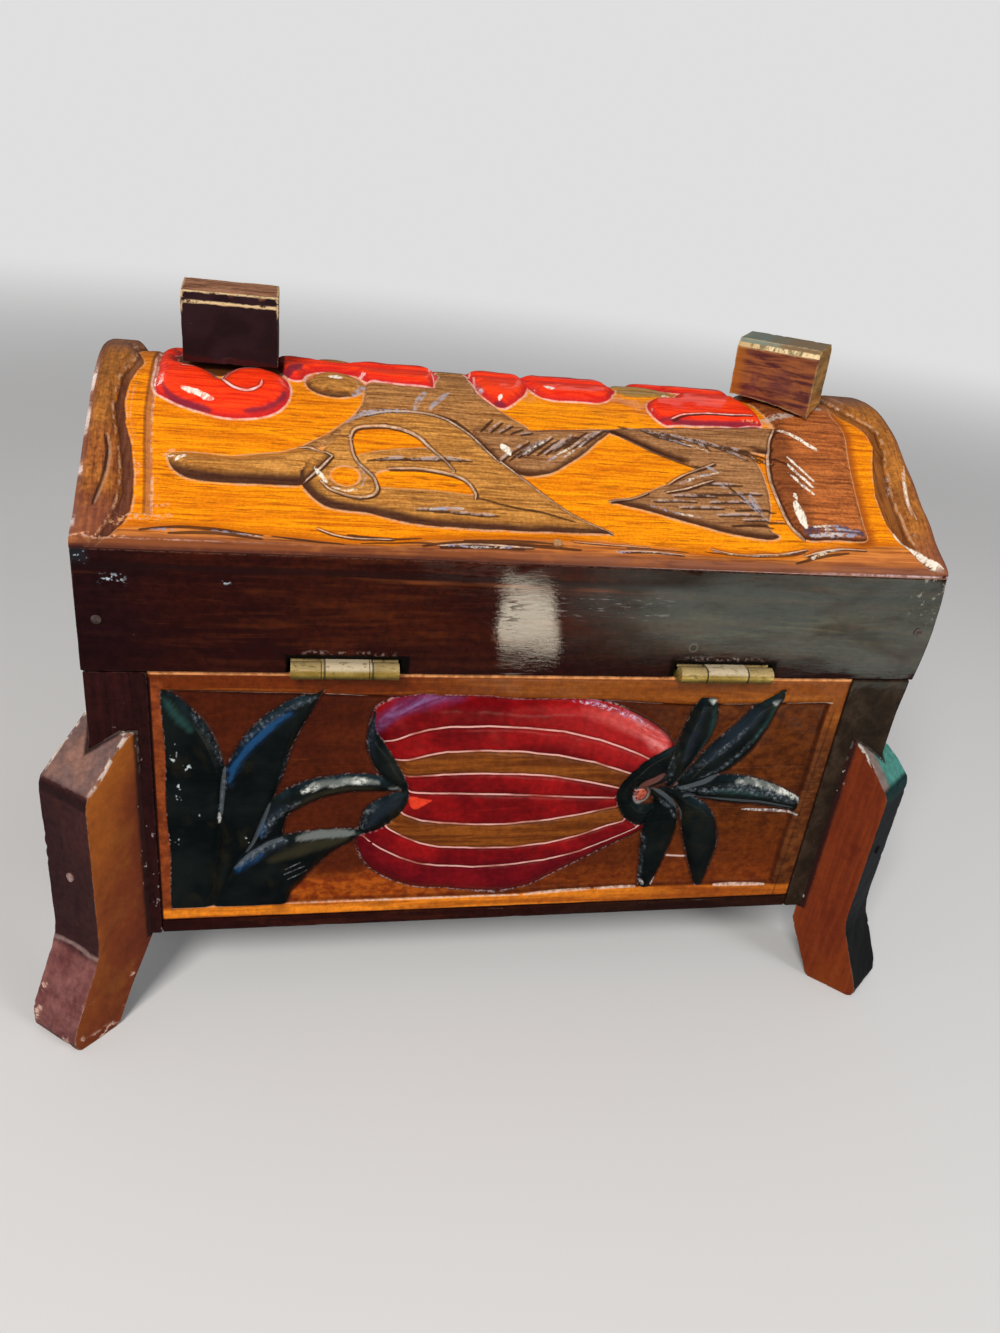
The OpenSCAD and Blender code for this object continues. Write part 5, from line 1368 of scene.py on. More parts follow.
def mat_panel():
    g = Graph("carved_panel_paint")
    keys = ("rect", "fruit", "dark", "band", "fline", "fls", "cut", "eye", "wedge", "bd", "pa", "pb", "patch",
            "teal", "blue", "grey", "bright", "olive", "white", "speck", "navy", "purple", "pink", "rose", "line")
    a = {k: g.attr(k) for k in keys}
    rect, fruit, dark, band, pa, pb = (a[k] for k in ("rect", "fruit", "dark", "band", "pa", "pb"))
    gr = g.noise(g.scaled(42, 620, 620), 1.0, 4.0, 0.6, 0.4)
    big = g.noise(g.scaled(14, 34, 34), 1.0, 4.0, 0.62, 0.5)
    blot = g.noise(g.scaled(75, 90, 90), 1.0, 3.0, 0.6, 0.2)
    mott = g.noise(g.scaled(260, 330, 420), 1.0, 3.0, 0.6)
    fine = g.noise(g.scaled(900, 900, 900), 1.0, 3.0, 0.65)
    wn = g.noise(g.scaled(520, 520, 520), 1.0, 3.0, 0.65)
    jit = g.mul(g.sub(wn, 0.5), 0.5)
    # field: deep red-brown up left, golden brown on the right, orange-red low down
    right = g.step(g.add(pa, g.mul(g.sub(big, 0.5), 30.0)), 20.0, 55.0)
    field = g.mix(g.step(big, 0.36, 0.66), (0.036, 0.0050, 0.0014), (0.074, 0.0108, 0.0016))
    gold = g.mix(g.step(mott, 0.35, 0.65), (0.056, 0.0108, 0.0008), (0.108, 0.0235, 0.0012))
    field = g.mix(right, field, gold)
    midw = g.band(pa, -38.0, -20.0, 6.0)
    field = g.mix(g.mul(midw, 0.4), field, (0.105, 0.017, 0.0018))
    warm = g.step(g.add(pb, g.mul(g.sub(blot, 0.5), 9.0)), -59.0, -65.0)
    field = g.mix(g.mul(warm, g.add(0.3, g.mul(g.step(pa, 5.0, -30.0), 0.55))), field, g.mix(g.step(mott, 0.4, 0.6), (0.20, 0.028, 0.0015), (0.36, 0.072, 0.003)))
    lower = g.step(pb, -42.0, -60.0)
    field = g.mix(g.mul(g.mul(right, lower), 0.5), field, (0.125, 0.020, 0.0022))
    field = g.mix(g.mul(g.step(gr, 0.44, 0.3), 0.3), field, (0.035, 0.006, 0.002))
    field = g.mix(g.mul(g.step(gr, 0.58, 0.72), 0.3), field, (0.16, 0.036, 0.004))
    field = g.grit(field, 0.22, 620.0)
    # rim
    rg = g.noise(g.scaled(26, 420, 420), 1.0, 4.0, 0.6, 0.5)
    rtop = g.mix(g.step(g.add(pa, g.mul(g.sub(blot, 0.5), 25.0)), -38.0, 12.0), (0.115, 0.018, 0.0015), (0.185, 0.043, 0.002))
    rtop = g.mix(g.mul(g.step(rg, 0.5, 0.7), 0.45), rtop, (0.34, 0.10, 0.006))
    rtop = g.mix(g.mul(g.step(rg, 0.44, 0.3), 0.45), rtop, (0.10, 0.022, 0.003))
    rbot = g.mix(g.step(rg, 0.36, 0.64), (0.32, 0.070, 0.003), (0.68, 0.195, 0.008))
    rbot = g.mix(g.mul(g.step(pa, 10.0, 60.0), 0.6), rbot, (0.19, 0.034, 0.003))
    rbot = g.mix(g.mul(g.step(blot, 0.46, 0.32), 0.45), rbot, (0.17, 0.035, 0.003))
    rleft = g.mix(g.step(mott, 0.35, 0.65), (0.13, 0.022, 0.0045), (0.23, 0.046, 0.008))
    rright = g.mix(g.step(mott, 0.35, 0.65), (0.06, 0.014, 0.003), (0.115, 0.032, 0.006))
    rimc = g.mix(g.step(pb, -30.0, -45.0), rtop, rbot)
    sidel = g.mul(g.step(pa, -88.2, -88.7), g.step(pb, -1.5, -3.5))
    rimc = g.mix(g.mul(sidel, g.step(pb, -71.5, -69.5)), rimc, rleft)
    rside = g.mul(g.step(pa, 76.0, 79.0), g.mul(g.step(pb, -7.0, -26.0), g.step(pb, -70.6, -69.4)))
    rimc = g.mix(rside, rimc, rright)
    rline = g.band(g.sub(pa, g.mul(pb, 0.035)), 86.5, 87.0, 0.2)
    rimc = g.mix(g.mul(g.mul(rline, 0.5), g.step(pb, -8.0, -12.0)), rimc, (0.02, 0.006, 0.003))
    rimc = g.grit(rimc, 0.2, 700.0)
    col = g.mix(g.step(rect, -0.25, 0.25), field, rimc)
    # groove: dark inside as painted shade, and a thin broken pale line, a painted highlight where the varnish catches
    # the light
    dk = g.mul(g.step(rect, -1.1, -0.35), g.step(rect, 0.3, 0.0))
    col = g.mix(g.mul(dk, 0.5), col, (0.020, 0.0045, 0.003))
    l2 = g.step(g.add(a["line"], g.mul(jit, 0.4)), 0.24, 0.0)
    l2 = g.mul(l2, g.step(g.math("ABSOLUTE", rect), 0.85, 0.45))
    col = g.mix(g.mul(l2, g.add(0.35, g.mul(g.step(fine, 0.4, 0.6), 0.55))), col, (0.60, 0.42, 0.33))
    # painted highlight along the thin arris of the upper edge, dark line round the board's other edges
    top = g.mul(g.step(pb, -0.9, -0.45), g.step(pb, 0.3, 0.1))
    col = g.mix(g.mul(top, g.add(0.45, g.mul(g.step(wn, 0.4, 0.6), 0.5))), col, (0.80, 0.33, 0.12))
    col = g.mix(g.mul(g.step(a["bd"], 0.7, 0.3), g.step(pb, -1.0, -2.0)), col, (0.016, 0.005, 0.004))
    # shade at the foot of each motif
    near = g.mul(g.step(g.mini(fruit, dark), 0.9, 0.1), 0.7)
    col = g.mix(g.mul(near, g.step(rect, 0.2, -0.2)), col, (0.018, 0.005, 0.004))
    # fruit: bands 0,1,3,4,6,7 red, 2 and 5 wood
    redg = g.mix(g.step(blot, 0.35, 0.68), (0.118, 0.0008, 0.0022), (0.255, 0.0024, 0.0030))
    redg = g.mix(g.mul(g.step(gr, 0.55, 0.72), 0.35), redg, (0.27, 0.005, 0.005))
    woodb = g.mix(g.step(gr, 0.36, 0.66), (0.105, 0.023, 0.0028), (0.205, 0.054, 0.005))
    woodb = g.mix(g.mul(g.step(blot, 0.45, 0.3), 0.5), woodb, (0.075, 0.014, 0.003))
    is2 = g.mul(g.math("GREATER_THAN", band, 2.0), g.math("LESS_THAN", band, 3.0))
    is5 = g.mul(g.math("GREATER_THAN", band, 5.0), g.math("LESS_THAN", band, 6.0))
    low = g.step(band, 5.8, 7.6)
    redg = g.mix(g.mul(low, 0.55), redg, (0.066, 0.0010, 0.0060))
    bright = g.mul(g.band(band, 0.4, 1.6, 0.3), g.step(pa, -5.0, 20.0))
    redg = g.mix(g.mul(bright, 0.5), redg, (0.36, 0.010, 0.010))
    fc = g.mix(g.maxi(is2, is5), redg, woodb)
    # painted purple reflection on the upper left, painted pink highlights on the upper right edge
    sw = g.noise(g.scaled(90, 300, 520, vec=g.scaled(1, 1, 1, rot=(0, -0.5, 0))), 1.0, 4.0, 0.7, 0.6)
    pu = g.step(g.add(a["purple"], g.mul(g.sub(sw, 0.5), 3.2)), 1.1, -2.0)
    fc = g.mix(g.mul(pu, 0.85), fc, g.mix(g.mul(g.step(sw, 0.40, 0.62), g.step(a["purple"], -0.4, -1.6)), (0.105, 0.016, 0.060), (0.16, 0.085, 0.20)))
    sr = g.noise(g.scaled(90, 300, 520, vec=g.scaled(1, 1, 1, rot=(0, 0.45, 0))), 1.0, 4.0, 0.7, 0.6)
    ro = g.step(g.add(a["rose"], g.mul(g.sub(sr, 0.5), 2.4)), 0.9, -2.2)
    fc = g.mix(g.mul(ro, g.add(0.35, g.mul(g.step(pa, 8.0, 26.0), 0.35))), fc, g.mix(g.mul(g.step(sr, 0.42, 0.6), g.step(pa, 20.0, 34.0)), (0.50, 0.060, 0.052), (0.66, 0.20, 0.19)))
    pk = g.mul(g.step(g.add(a["pink"], g.mul(g.sub(wn, 0.5), 1.8)), 0.2, -0.35), g.step(fine, 0.44, 0.58))
    fc = g.mix(g.mul(pk, 0.85), fc, g.mix(g.step(wn, 0.4, 0.6), (0.30, 0.14, 0.26), (0.66, 0.58, 0.72)))
    fc = g.mix(g.mul(g.step(g.add(a["patch"], jit), 0.2, -0.3), 0.85), fc, (0.68, 0.042, 0.012))
    # incised lines: pinkish, broken, dark on their lower side
    ln = g.mul(g.step(g.math("ABSOLUTE", g.add(a["fls"], g.mul(jit, 0.35))), 0.36, 0.16), g.step(a["fline"], 1.2, 0.9))
    fade = g.step(g.noise(g.scaled(60, 200, 200), 1.0, 3.0, 0.6), 0.3, 0.55)
    fc = g.grit(fc, 0.18, 620.0)
    fs = g.math("ABSOLUTE", a["fls"])
    fc = g.mix(g.mul(g.mul(g.step(fs, 0.85, 0.45), g.step(fs, 0.28, 0.42)), 0.55), fc, (0.028, 0.0015, 0.003))
    fc = g.mix(g.mul(ln, g.add(0.35, g.mul(fade, 0.55))), fc, g.mix(fade, (0.46, 0.15, 0.10), (0.70, 0.36, 0.31)))
    fe = g.mul(g.step(fruit, -0.9, -0.3), g.step(pb, -10.0, -14.0))
    fc = g.mix(g.mul(fe, 0.45), fc, (0.03, 0.002, 0.004))
    col = g.mix(g.step(g.add(fruit, jit), 0.12, -0.12), col, fc)
    # pale worn outline at the fruit's lower left and lower edge
    fo = g.mul(g.mul(g.step(fruit, -0.25, 0.0), g.step(fruit, 0.75, 0.4)), g.step(pb, -50.0, -56.0))
    col = g.mix(g.mul(g.mul(fo, g.step(fine, 0.46, 0.58)), 0.75), col, (0.34, 0.22, 0.22))
    # pinkish line along the fruit's top outline: a painted highlight
    fo2 = g.mul(g.mul(g.step(fruit, -0.25, 0.0), g.step(fruit, 0.6, 0.3)), g.step(pb, -11.0, -8.0))
    col = g.mix(g.mul(g.mul(fo2, g.step(fine, 0.44, 0.56)), 0.7), col, (0.45, 0.20, 0.21))
    # foliage: black green, with painted teal and blue reflections and painted grey and bright highlights along the
    # bevels
    leafy = g.mix(g.step(blot, 0.35, 0.7), (0.0022, 0.0036, 0.0038), (0.0058, 0.0088, 0.0082))
    lx = g.noise(g.scaled(160, 160, 90), 1.0, 3.0, 0.6, 0.5)
    leafy = g.mix(g.mul(g.step(lx, 0.52, 0.7), 0.5), leafy, (0.016, 0.013, 0.006))
    # painted teal sheen where the surface faces up
    upn = g.step(g.facing(0, 0, 1), 0.2, 0.7)
    leafy = g.mix(g.mul(upn, g.add(0.12, g.mul(g.step(blot, 0.42, 0.62), 0.45))), leafy, (0.010, 0.026, 0.036))
    stre = g.noise(g.scaled(130, 420, 760, vec=g.scaled(1, 1, 1, rot=(0, -0.76, 0))), 1.0, 4.0, 0.7, 0.5)
    def streaked_patch(key, reach, soft, color, amount, layer):
        m = g.step(g.add(a[key], g.mul(g.sub(stre, 0.5), reach)), soft, -soft)
        return g.mix(g.mul(m, amount), layer, color)
    leafy = streaked_patch("olive", 1.8, 1.1, (0.036, 0.030, 0.014), 0.6, leafy)
    leafy = streaked_patch("navy", 3.4, 1.4, (0.012, 0.019, 0.029), 0.75, leafy)
    # teal and blue patches: painted reflections
    leafy = streaked_patch("teal", 2.6, 1.1, (0.015, 0.052, 0.046), 0.8, leafy)
    leafy = streaked_patch("blue", 3.0, 1.5, (0.0065, 0.032, 0.085), 0.9, leafy)
    leafy = streaked_patch("blue", 3.4, 0.35, (0.008, 0.058, 0.155), 0.6, leafy)
    # painted grey highlights, speckled
    gm = g.mul(g.step(g.add(a["grey"], g.mul(g.sub(wn, 0.5), 2.2)), 0.6, -0.5), g.step(fine, 0.34, 0.6))
    leafy = g.mix(g.mul(gm, 0.72), leafy, g.mix(g.step(fine, 0.5, 0.70), (0.040, 0.050, 0.062), (0.165, 0.185, 0.20)))
    # painted bright highlights on the petals and leaf edges
    bm = g.step(g.add(a["bright"], g.mul(g.sub(stre, 0.5), 2.0)), 0.6, -0.4)
    mid = g.step(g.noise(g.scaled(110, 110, 110), 1.0, 2.0, 0.5), 0.46, 0.62)
    leafy = g.mix(g.mul(bm, 0.9), leafy, g.mix(g.mul(g.step(fine, 0.36, 0.58), mid), (0.125, 0.135, 0.125), (0.78, 0.78, 0.70)))
    # painted white glints in clusters
    sp = g.mul(g.step(a["speck"], 0.3, -0.3), g.step(g.noise(g.scaled(480, 480, 480), 1.0, 2.0, 0.5), 0.60, 0.66))
    leafy = g.mix(sp, leafy, (0.42, 0.48, 0.48))
    leafy = g.mix(g.mul(g.step(a["cut"], 0.25, 0.0), 0.35), leafy, (0.13, 0.15, 0.16))
    col = g.mix(g.step(g.add(dark, g.mul(jit, 0.7)), 0.1, -0.12), col, leafy)
    rimw = g.mul(g.step(dark, -0.3, -0.05), g.step(dark, 0.4, 0.15))
    col = g.mix(g.mul(g.mul(rimw, g.step(fine, 0.52, 0.64)), 0.4), col, (0.26, 0.17, 0.16))
    wm = g.step(g.add(a["white"], g.mul(jit, 0.6)), 0.22, -0.05)
    wcol = g.mix(g.step(pa, -70.0, -50.0), (0.60, 0.56, 0.54), (0.60, 0.56, 0.54))
    wcol = g.mix(g.band(pa, -62.0, -52.0, 1.0), wcol, (0.20, 0.21, 0.21))
    col = g.mix(g.mul(wm, g.add(0.15, g.mul(g.step(fine, 0.4, 0.6), 0.6))), col, wcol)
    dash = g.mul(g.band(pa, 47.4, 53.4, 0.3), g.band(g.add(pb, g.mul(g.sub(pa, 50.0), 0.1)), -59.3, -58.7, 0.2))
    col = g.mix(g.mul(dash, g.mul(g.step(dark, 0.0, 0.3), 0.8)), col, (0.62, 0.42, 0.36))
    ring = g.mul(g.step(a["eye"], 1.0, 0.5), g.step(a["eye"], -0.1, 0.2))
    col = g.mix(g.mul(g.mul(ring, g.add(0.35, g.mul(g.step(pb, -36.0, -37.6), 0.65))), 0.8), col, (0.20, 0.19, 0.18))
    col = g.mix(g.mul(g.step(a["wedge"], 0.1, -0.3), 0.7), col, (0.13, 0.045, 0.035))
    col = g.mix(g.step(a["eye"], -0.2, -0.45), col, g.mix(g.step(fine, 0.4, 0.6), (0.24, 0.040, 0.022), (0.42, 0.090, 0.055)))
    # normals
    hb = g.add(g.mul(gr, 0.4), g.mul(big, 0.3))
    hb = g.sub(hb, g.mul(ln, 0.8))
    bump = g.bump(hb, 0.6, 0.00014)
    cb = varnish_bump(g, 0.00011, 170.0, g.bump(hb, 0.5, 0.00007))
    leaf = g.step(dark, 0.1, -0.1)
    rough = g.lerp(leaf, 0.45, 0.5)
    m = g.surface(col, rough, bump, coat=0.9, coat_rough=0.1, coat_normal=cb, spec=0.04)
    b = next(n for n in g.nt.nodes if n.type == "BSDF_PRINCIPLED")
    g.put(b.inputs["Coat Weight"], g.lerp(leaf, g.lerp(g.step(fruit, 0.1, -0.1), 0.5, 0.34), 0.34))
    g.put(b.inputs["Coat Roughness"], g.lerp(leaf, 0.24, 0.26))
    return m


def mat_lid():
    g = Graph("carved_lid_paint")
    names = ("brown", "red", "green", "pale", "darkl", "hlight", "rim", "gut", "bord", "vline", "low", "tone", "inner", "redd", "arr",
             "la", "ls", "gloss", "lblue", "lpink", "lpurp", "hollow", "lglint", "ln", "lnw", "gl1", "gw1", "gl2", "gw2")
    a = {k: g.attr(k) for k in names}
    gr = g.noise(g.scaled(60, 1150, 1150), 1.0, 5.0, 0.62, 0.5)
    lines = g.noise(g.scaled(34, 1500, 1500), 1.0, 3.0, 0.6, 0.3)
    fleck = g.noise(g.scaled(120, 1700, 1700), 1.0, 2.0, 0.5)
    big = g.noise(g.scaled(18, 60, 60), 1.0, 4.0, 0.62, 0.5)
    blot = g.noise(g.scaled(90, 110, 110), 1.0, 3.0, 0.6)
    wn = g.noise(g.scaled(480, 480, 480), 1.0, 4.0, 0.7)
    fine = g.noise(g.scaled(900, 900, 900), 1.0, 3.0, 0.65)
    jit = g.mul(g.sub(g.noise(g.scaled(520, 520, 520), 1.0, 2.0, 0.5), 0.5), 0.5)
    la, ls = a["la"], a["ls"]
    # orange field
    org = g.mix(g.step(gr, 0.36, 0.64), (0.62, 0.150, 0.0015), (0.90, 0.285, 0.0015))
    org = g.mix(g.mul(g.step(big, 0.45, 0.72), 0.55), org, (0.95, 0.33, 0.0015))
    org = g.mix(g.mul(g.step(big, 0.42, 0.28), 0.6), org, (0.56, 0.115, 0.002))
    org = g.mix(g.mul(g.step(lines, 0.46, 0.36), 0.6), org, (0.36, 0.072, 0.002))
    org = g.mix(g.mul(g.step(fleck, 0.60, 0.68), 0.62), org, (0.20, 0.045, 0.003))
    org = g.grit(org, 0.12, 1300.0)
    # near the bottom border it turns redder
    lowf = g.step(g.add(a["bord"], g.mul(g.sub(blot, 0.5), 3.0)), 4.2, 0.8)
    org = g.mix(g.mul(lowf, 0.55), org, (0.62, 0.13, 0.002))
    # brown motifs
    tone = a["tone"]
    lo_c = g.mix(g.step(tone, 0.1, 0.5), (0.29, 0.110, 0.021), (0.195, 0.076, 0.026))
    hi_c = g.mix(g.step(tone, 0.1, 0.5), (0.60, 0.265, 0.056), (0.395, 0.188, 0.074))
    lo_c = g.mix(g.step(tone, 0.75, 0.95), lo_c, (0.21, 0.050, 0.013))
    hi_c = g.mix(g.step(tone, 0.75, 0.95), hi_c, (0.52, 0.150, 0.034))
    warmb = g.mul(g.step(blot, 0.50, 0.64), g.step(tone, 0.9, 0.1))
    lo_c = g.mix(g.mul(warmb, 0.35), lo_c, (0.36, 0.115, 0.012))
    brn = g.mix(g.step(gr, 0.34, 0.66), lo_c, hi_c)
    brn = g.mix(g.mul(g.step(big, 0.45, 0.3), 0.45), brn, (0.15, 0.048, 0.014))
    plain = g.sub(1.0, g.mul(g.step(tone, 0.85, 0.97), 0.6))
    brn = g.mix(g.mul(g.mul(g.step(lines, 0.45, 0.34), 0.4), plain), brn, (0.12, 0.038, 0.010))
    brn = g.mix(g.mul(g.mul(g.step(fleck, 0.58, 0.68), 0.6), plain), brn, (0.07, 0.022, 0.008))
    brn = g.grit(brn, 0.22, 1100.0)
    shade = g.step(g.add(a["low"], g.mul(g.sub(g.add(blot, gr), 1.0), 0.55)), 0.2, 1.0)
    brn = g.mix(g.mul(g.mul(g.step(tone, 0.85, 0.97), g.step(g.add(la, g.mul(g.sub(blot, 0.5), 5.0)), 75.5, 71.5)), 0.55), brn, (0.085, 0.022, 0.008))
    brn = g.mix(g.mul(shade, 0.92), brn, g.mix(g.step(tone, 0.1, 0.3), (0.030, 0.009, 0.009), (0.042, 0.012, 0.006)))
    col = g.mix(g.step(g.add(a["brown"], g.mul(jit, 0.6)), 0.1, -0.1), org, brn)
    # red lobes: vermilion on top, crimson down their sides as painted shade, and painted purple shade along their lower
    # inner edges
    rd = g.mix(g.step(gr, 0.34, 0.66), (0.66, 0.016, 0.004), (0.95, 0.052, 0.008))
    rd = g.mix(g.mul(g.step(big, 0.5, 0.7), 0.4), rd, (0.95, 0.085, 0.010))
    rd = g.mix(g.mul(g.step(a["redd"], -1.8, -0.3), 0.7), rd, (0.42, 0.008, 0.018))
    rd = g.mix(g.mul(g.step(fleck, 0.64, 0.74), 0.5), rd, (0.34, 0.012, 0.006))
    pp = g.step(g.add(a["lpurp"], g.mul(g.sub(blot, 0.5), 1.4)), 0.4, -0.6)
    rd = g.mix(g.mul(pp, 0.85), rd, (0.16, 0.016, 0.035))
    col = g.mix(g.step(g.add(a["red"], g.mul(jit, 0.5)), 0.1, -0.1), col, rd)
    col = g.mix(g.mul(g.step(a["green"], 0.2, -0.6), 0.75), col, (0.17, 0.15, 0.05))
    col = g.grit(col, 0.1, 1500.0)
    # bottom border: brown over orange, in streaks
    bst = g.step(g.add(a["bord"], g.mul(g.sub(big, 0.5), 4.0)), 0.7, -0.7)
    bcol = g.mix(g.step(gr, 0.34, 0.66), (0.30, 0.076, 0.014), (0.70, 0.235, 0.042))
    bcol = g.mix(g.mul(g.step(blot, 0.50, 0.66), 0.5), bcol, (0.78, 0.28, 0.038))
    bcol = g.mix(g.mul(g.step(a["bord"], -1.6, -3.0), 0.45), bcol, (0.50, 0.155, 0.045))
    bcol = g.mix(g.mul(g.step(lines, 0.45, 0.35), 0.45), bcol, (0.12, 0.034, 0.014))
    bcol = g.mix(g.mul(g.step(g.add(ls, g.mul(g.sub(blot, 0.5), 2.0)), 3.8, 1.4), 0.78), bcol, g.mix(g.step(gr, 0.36, 0.64), (0.125, 0.034, 0.015), (0.275, 0.080, 0.026)))
    col = g.mix(bst, col, bcol)
    # rims: golden brown up by the crown, red-brown lower and on the outer edge
    vgr = g.noise(g.scaled(1100, 90, 120), 1.0, 4.0, 0.62, 0.4)
    rcol = g.mix(g.step(vgr, 0.36, 0.66), (0.14, 0.036, 0.012), (0.34, 0.105, 0.022))
    up = g.step(g.add(ls, g.mul(g.sub(blot, 0.5), 26.0)), 22.0, 42.0)
    rcol = g.mix(g.mul(up, 0.5), rcol, (0.33, 0.13, 0.022))
    rcol = g.mix(g.mul(g.step(blot, 0.50, 0.64), 0.5), rcol, (0.56, 0.20, 0.03))
    rcol = g.mix(g.mul(g.step(la, 60.0, 80.0), 0.3), rcol, (0.50, 0.185, 0.030))
    rcol = g.mix(g.mul(g.step(g.noise(g.scaled(1500, 140, 190), 1.0, 4.0, 0.65, 0.7), 0.5, 0.36), 0.5), rcol, (0.09, 0.03, 0.014))
    rcol = g.grit(rcol, 0.3, 900.0)
    lowr = g.step(g.add(ls, g.mul(g.sub(big, 0.5), 10.0)), 15.0, 4.0)
    rcol = g.mix(g.mul(lowr, 0.5), rcol, (0.21, 0.065, 0.045))
    rcol = g.mix(g.mul(g.step(ls, 58.0, 66.0), 0.5), rcol, (0.20, 0.095, 0.075))
    rcol = g.mix(g.mul(g.step(a["arr"], 2.2, 0.6), 0.5), rcol, (0.15, 0.05, 0.035))
    col = g.mix(g.step(g.add(a["rim"], g.mul(jit, 0.6)), 0.12, -0.12), col, rcol)
    gcol = g.mix(g.step(vgr, 0.35, 0.65), (0.050, 0.016, 0.013), (0.125, 0.044, 0.034))
    gcol = g.mix(g.mul(g.step(la, 60.0, 80.0), 0.8), gcol, g.mix(g.step(vgr, 0.35, 0.65), (0.115, 0.034, 0.010), (0.30, 0.105, 0.020)))
    gcol = g.mix(g.mul(g.step(ls, 46.0, 58.0), 0.6), gcol, (0.24, 0.090, 0.026))
    g1 = g.maxi(g.mul(a["gl1"], -1.0), g.sub(a["gl1"], a["gw1"]))
    g2 = g.maxi(g.mul(a["gl2"], -1.0), g.sub(a["gl2"], a["gw2"]))
    gut = g.mini(g1, g2)
    wav = g.mul(g.sub(g.noise(g.scaled(160, 160, 160), 1.0, 3.0, 0.6), 0.5), 0.8)
    gut = g.add(gut, wav)
    col = g.mix(g.mul(g.step(gut, 0.12, -0.2), 0.93), col, gcol)
    ge = g.mul(g.step(gut, -0.45, -0.15), g.step(gut, 0.25, 0.0))
    col = g.mix(g.mul(ge, 0.45), col, (0.030, 0.012, 0.010))
    # pale line just outside the gutters: a painted highlight
    gl = g.mul(g.step(gut, 0.75, 0.45), g.step(gut, 0.08, 0.25))
    col = g.mix(g.mul(g.mul(gl, g.step(wn, 0.42, 0.58)), 0.6), col, (0.62, 0.38, 0.22))
    # line down the left strip, with a painted highlight along one edge
    vl = g.step(g.add(g.math("ABSOLUTE", a["vline"]), g.mul(jit, 0.5)), 0.95, 0.55)
    col = g.mix(g.mul(vl, g.add(0.5, g.mul(blot, 0.35))), col, (0.34, 0.125, 0.055))
    vd = g.mul(g.step(a["vline"], -1.5, -1.0), g.step(a["vline"], -0.45, -0.8))
    col = g.mix(g.mul(vd, 0.65), col, (0.11, 0.03, 0.010))
    vh = g.mul(g.step(a["vline"], 0.2, 0.5), g.step(a["vline"], 1.1, 0.8))
    col = g.mix(g.mul(g.mul(vh, g.step(wn, 0.44, 0.6)), 0.6), col, (0.72, 0.46, 0.33))
    # thin paler outlines where a motif's edge was cut: pale wood and a painted highlight
    mot = g.mini(g.math("ABSOLUTE", g.sub(a["brown"], 0.18)), g.math("ABSOLUTE", g.sub(a["red"], 0.18)))
    ol = g.step(g.add(mot, g.mul(jit, 0.3)), 0.42, 0.12)
    keep = g.mul(g.mul(g.step(a["rim"], -0.2, 0.3), g.step(a["bord"], -0.5, 1.0)), g.step(a["gut"], 0.0, 0.4))
    redol = g.step(a["red"], 1.0, 0.4)
    olc = g.mix(redol, (0.58, 0.33, 0.18), (0.80, 0.50, 0.44))
    col = g.mix(g.mul(g.mul(ol, keep), g.add(0.25, g.mul(g.step(wn, 0.4, 0.6), 0.5))), col, olc)
    # dark lines in the cuts, gouges and knife strokes: painted shade
    dk = g.step(g.add(a["darkl"], g.mul(jit, 0.2)), 0.34, 0.04)
    col = g.mix(g.mul(dk, 0.85), col, (0.030, 0.010, 0.006))
    hl = g.step(g.add(a["hlight"], g.mul(jit, 0.5)), 0.34, 0.05)
    col = g.mix(g.mul(g.mul(hl, g.step(wn, 0.42, 0.58)), 0.55), col, (0.52, 0.40, 0.36))
    # pale lines of the incisions: pale wood with a painted highlight
    gate = g.step(a["pale"], 0.75, 0.45)
    off = g.sub(g.math("ABSOLUTE", g.add(a["ln"], g.mul(jit, 0.35))), a["lnw"])
    pl = g.mul(gate, g.step(off, 0.16, -0.02))
    rimpl = g.mul(g.step(a["pale"], 0.2, 0.02), g.step(g.math("ABSOLUTE", a["ln"]), 2.0, 3.0))
    pl = g.maxi(pl, g.mul(rimpl, g.add(0.35, g.mul(g.step(la, -90.0, -80.0), 0.65))))
    # dark band beside the pale lines: painted shade
    sidel = g.mul(gate, g.mul(g.step(off, 0.75, 0.35), g.step(off, 0.0, 0.15)))
    col = g.mix(g.mul(sidel, 0.55), col, (0.06, 0.018, 0.008))
    vary = g.step(g.noise(g.scaled(140, 140, 140), 1.0, 2.0, 0.5), 0.3, 0.62)
    col = g.mix(g.mul(pl, g.add(0.3, g.mul(g.mul(vary, g.step(wn, 0.36, 0.56)), 0.65))), col, g.mix(redol, (0.66, 0.44, 0.30), (0.88, 0.60, 0.55)))
    # painted pinkish highlights
    pb_ = g.mul(g.step(g.add(a["lpink"], g.mul(g.sub(wn, 0.5), 2.0)), 0.2, -0.2), g.step(fine, 0.44, 0.56))
    col = g.mix(g.mul(pb_, 0.75), col, (0.70, 0.34, 0.16))
    # painted bluish highlights and reflections, navy low on the right panel
    bl = g.mul(g.step(g.add(a["lblue"], g.mul(g.sub(wn, 0.5), 1.6)), 0.25, -0.35), g.step(fine, 0.36, 0.56))
    deep = g.step(la, 68.0, 70.0)
    bcl = g.mix(g.mul(deep, g.step(ls, 20.0, 14.0)), (0.36, 0.33, 0.37), (0.038, 0.045, 0.085))
    bcl = g.mix(g.mul(deep, g.step(ls, 48.0, 52.0)), bcl, (0.48, 0.42, 0.36))
    col = g.mix(g.mul(bl, 0.8), col, bcl)
    # painted cream highlights
    bd = g.step(g.add(a["gloss"], g.mul(g.sub(wn, 0.5), 1.5)), 0.22, -0.12)
    hat = g.noise(g.scaled(1500, 420, 420, vec=g.scaled(1, 1, 1, rot=(0, 0.7, 0))), 1.0, 3.0, 0.7)
    col = g.mix(g.mul(bd, g.add(0.25, g.mul(g.step(hat, 0.38, 0.52), 0.7))), col, (0.84, 0.77, 0.64))
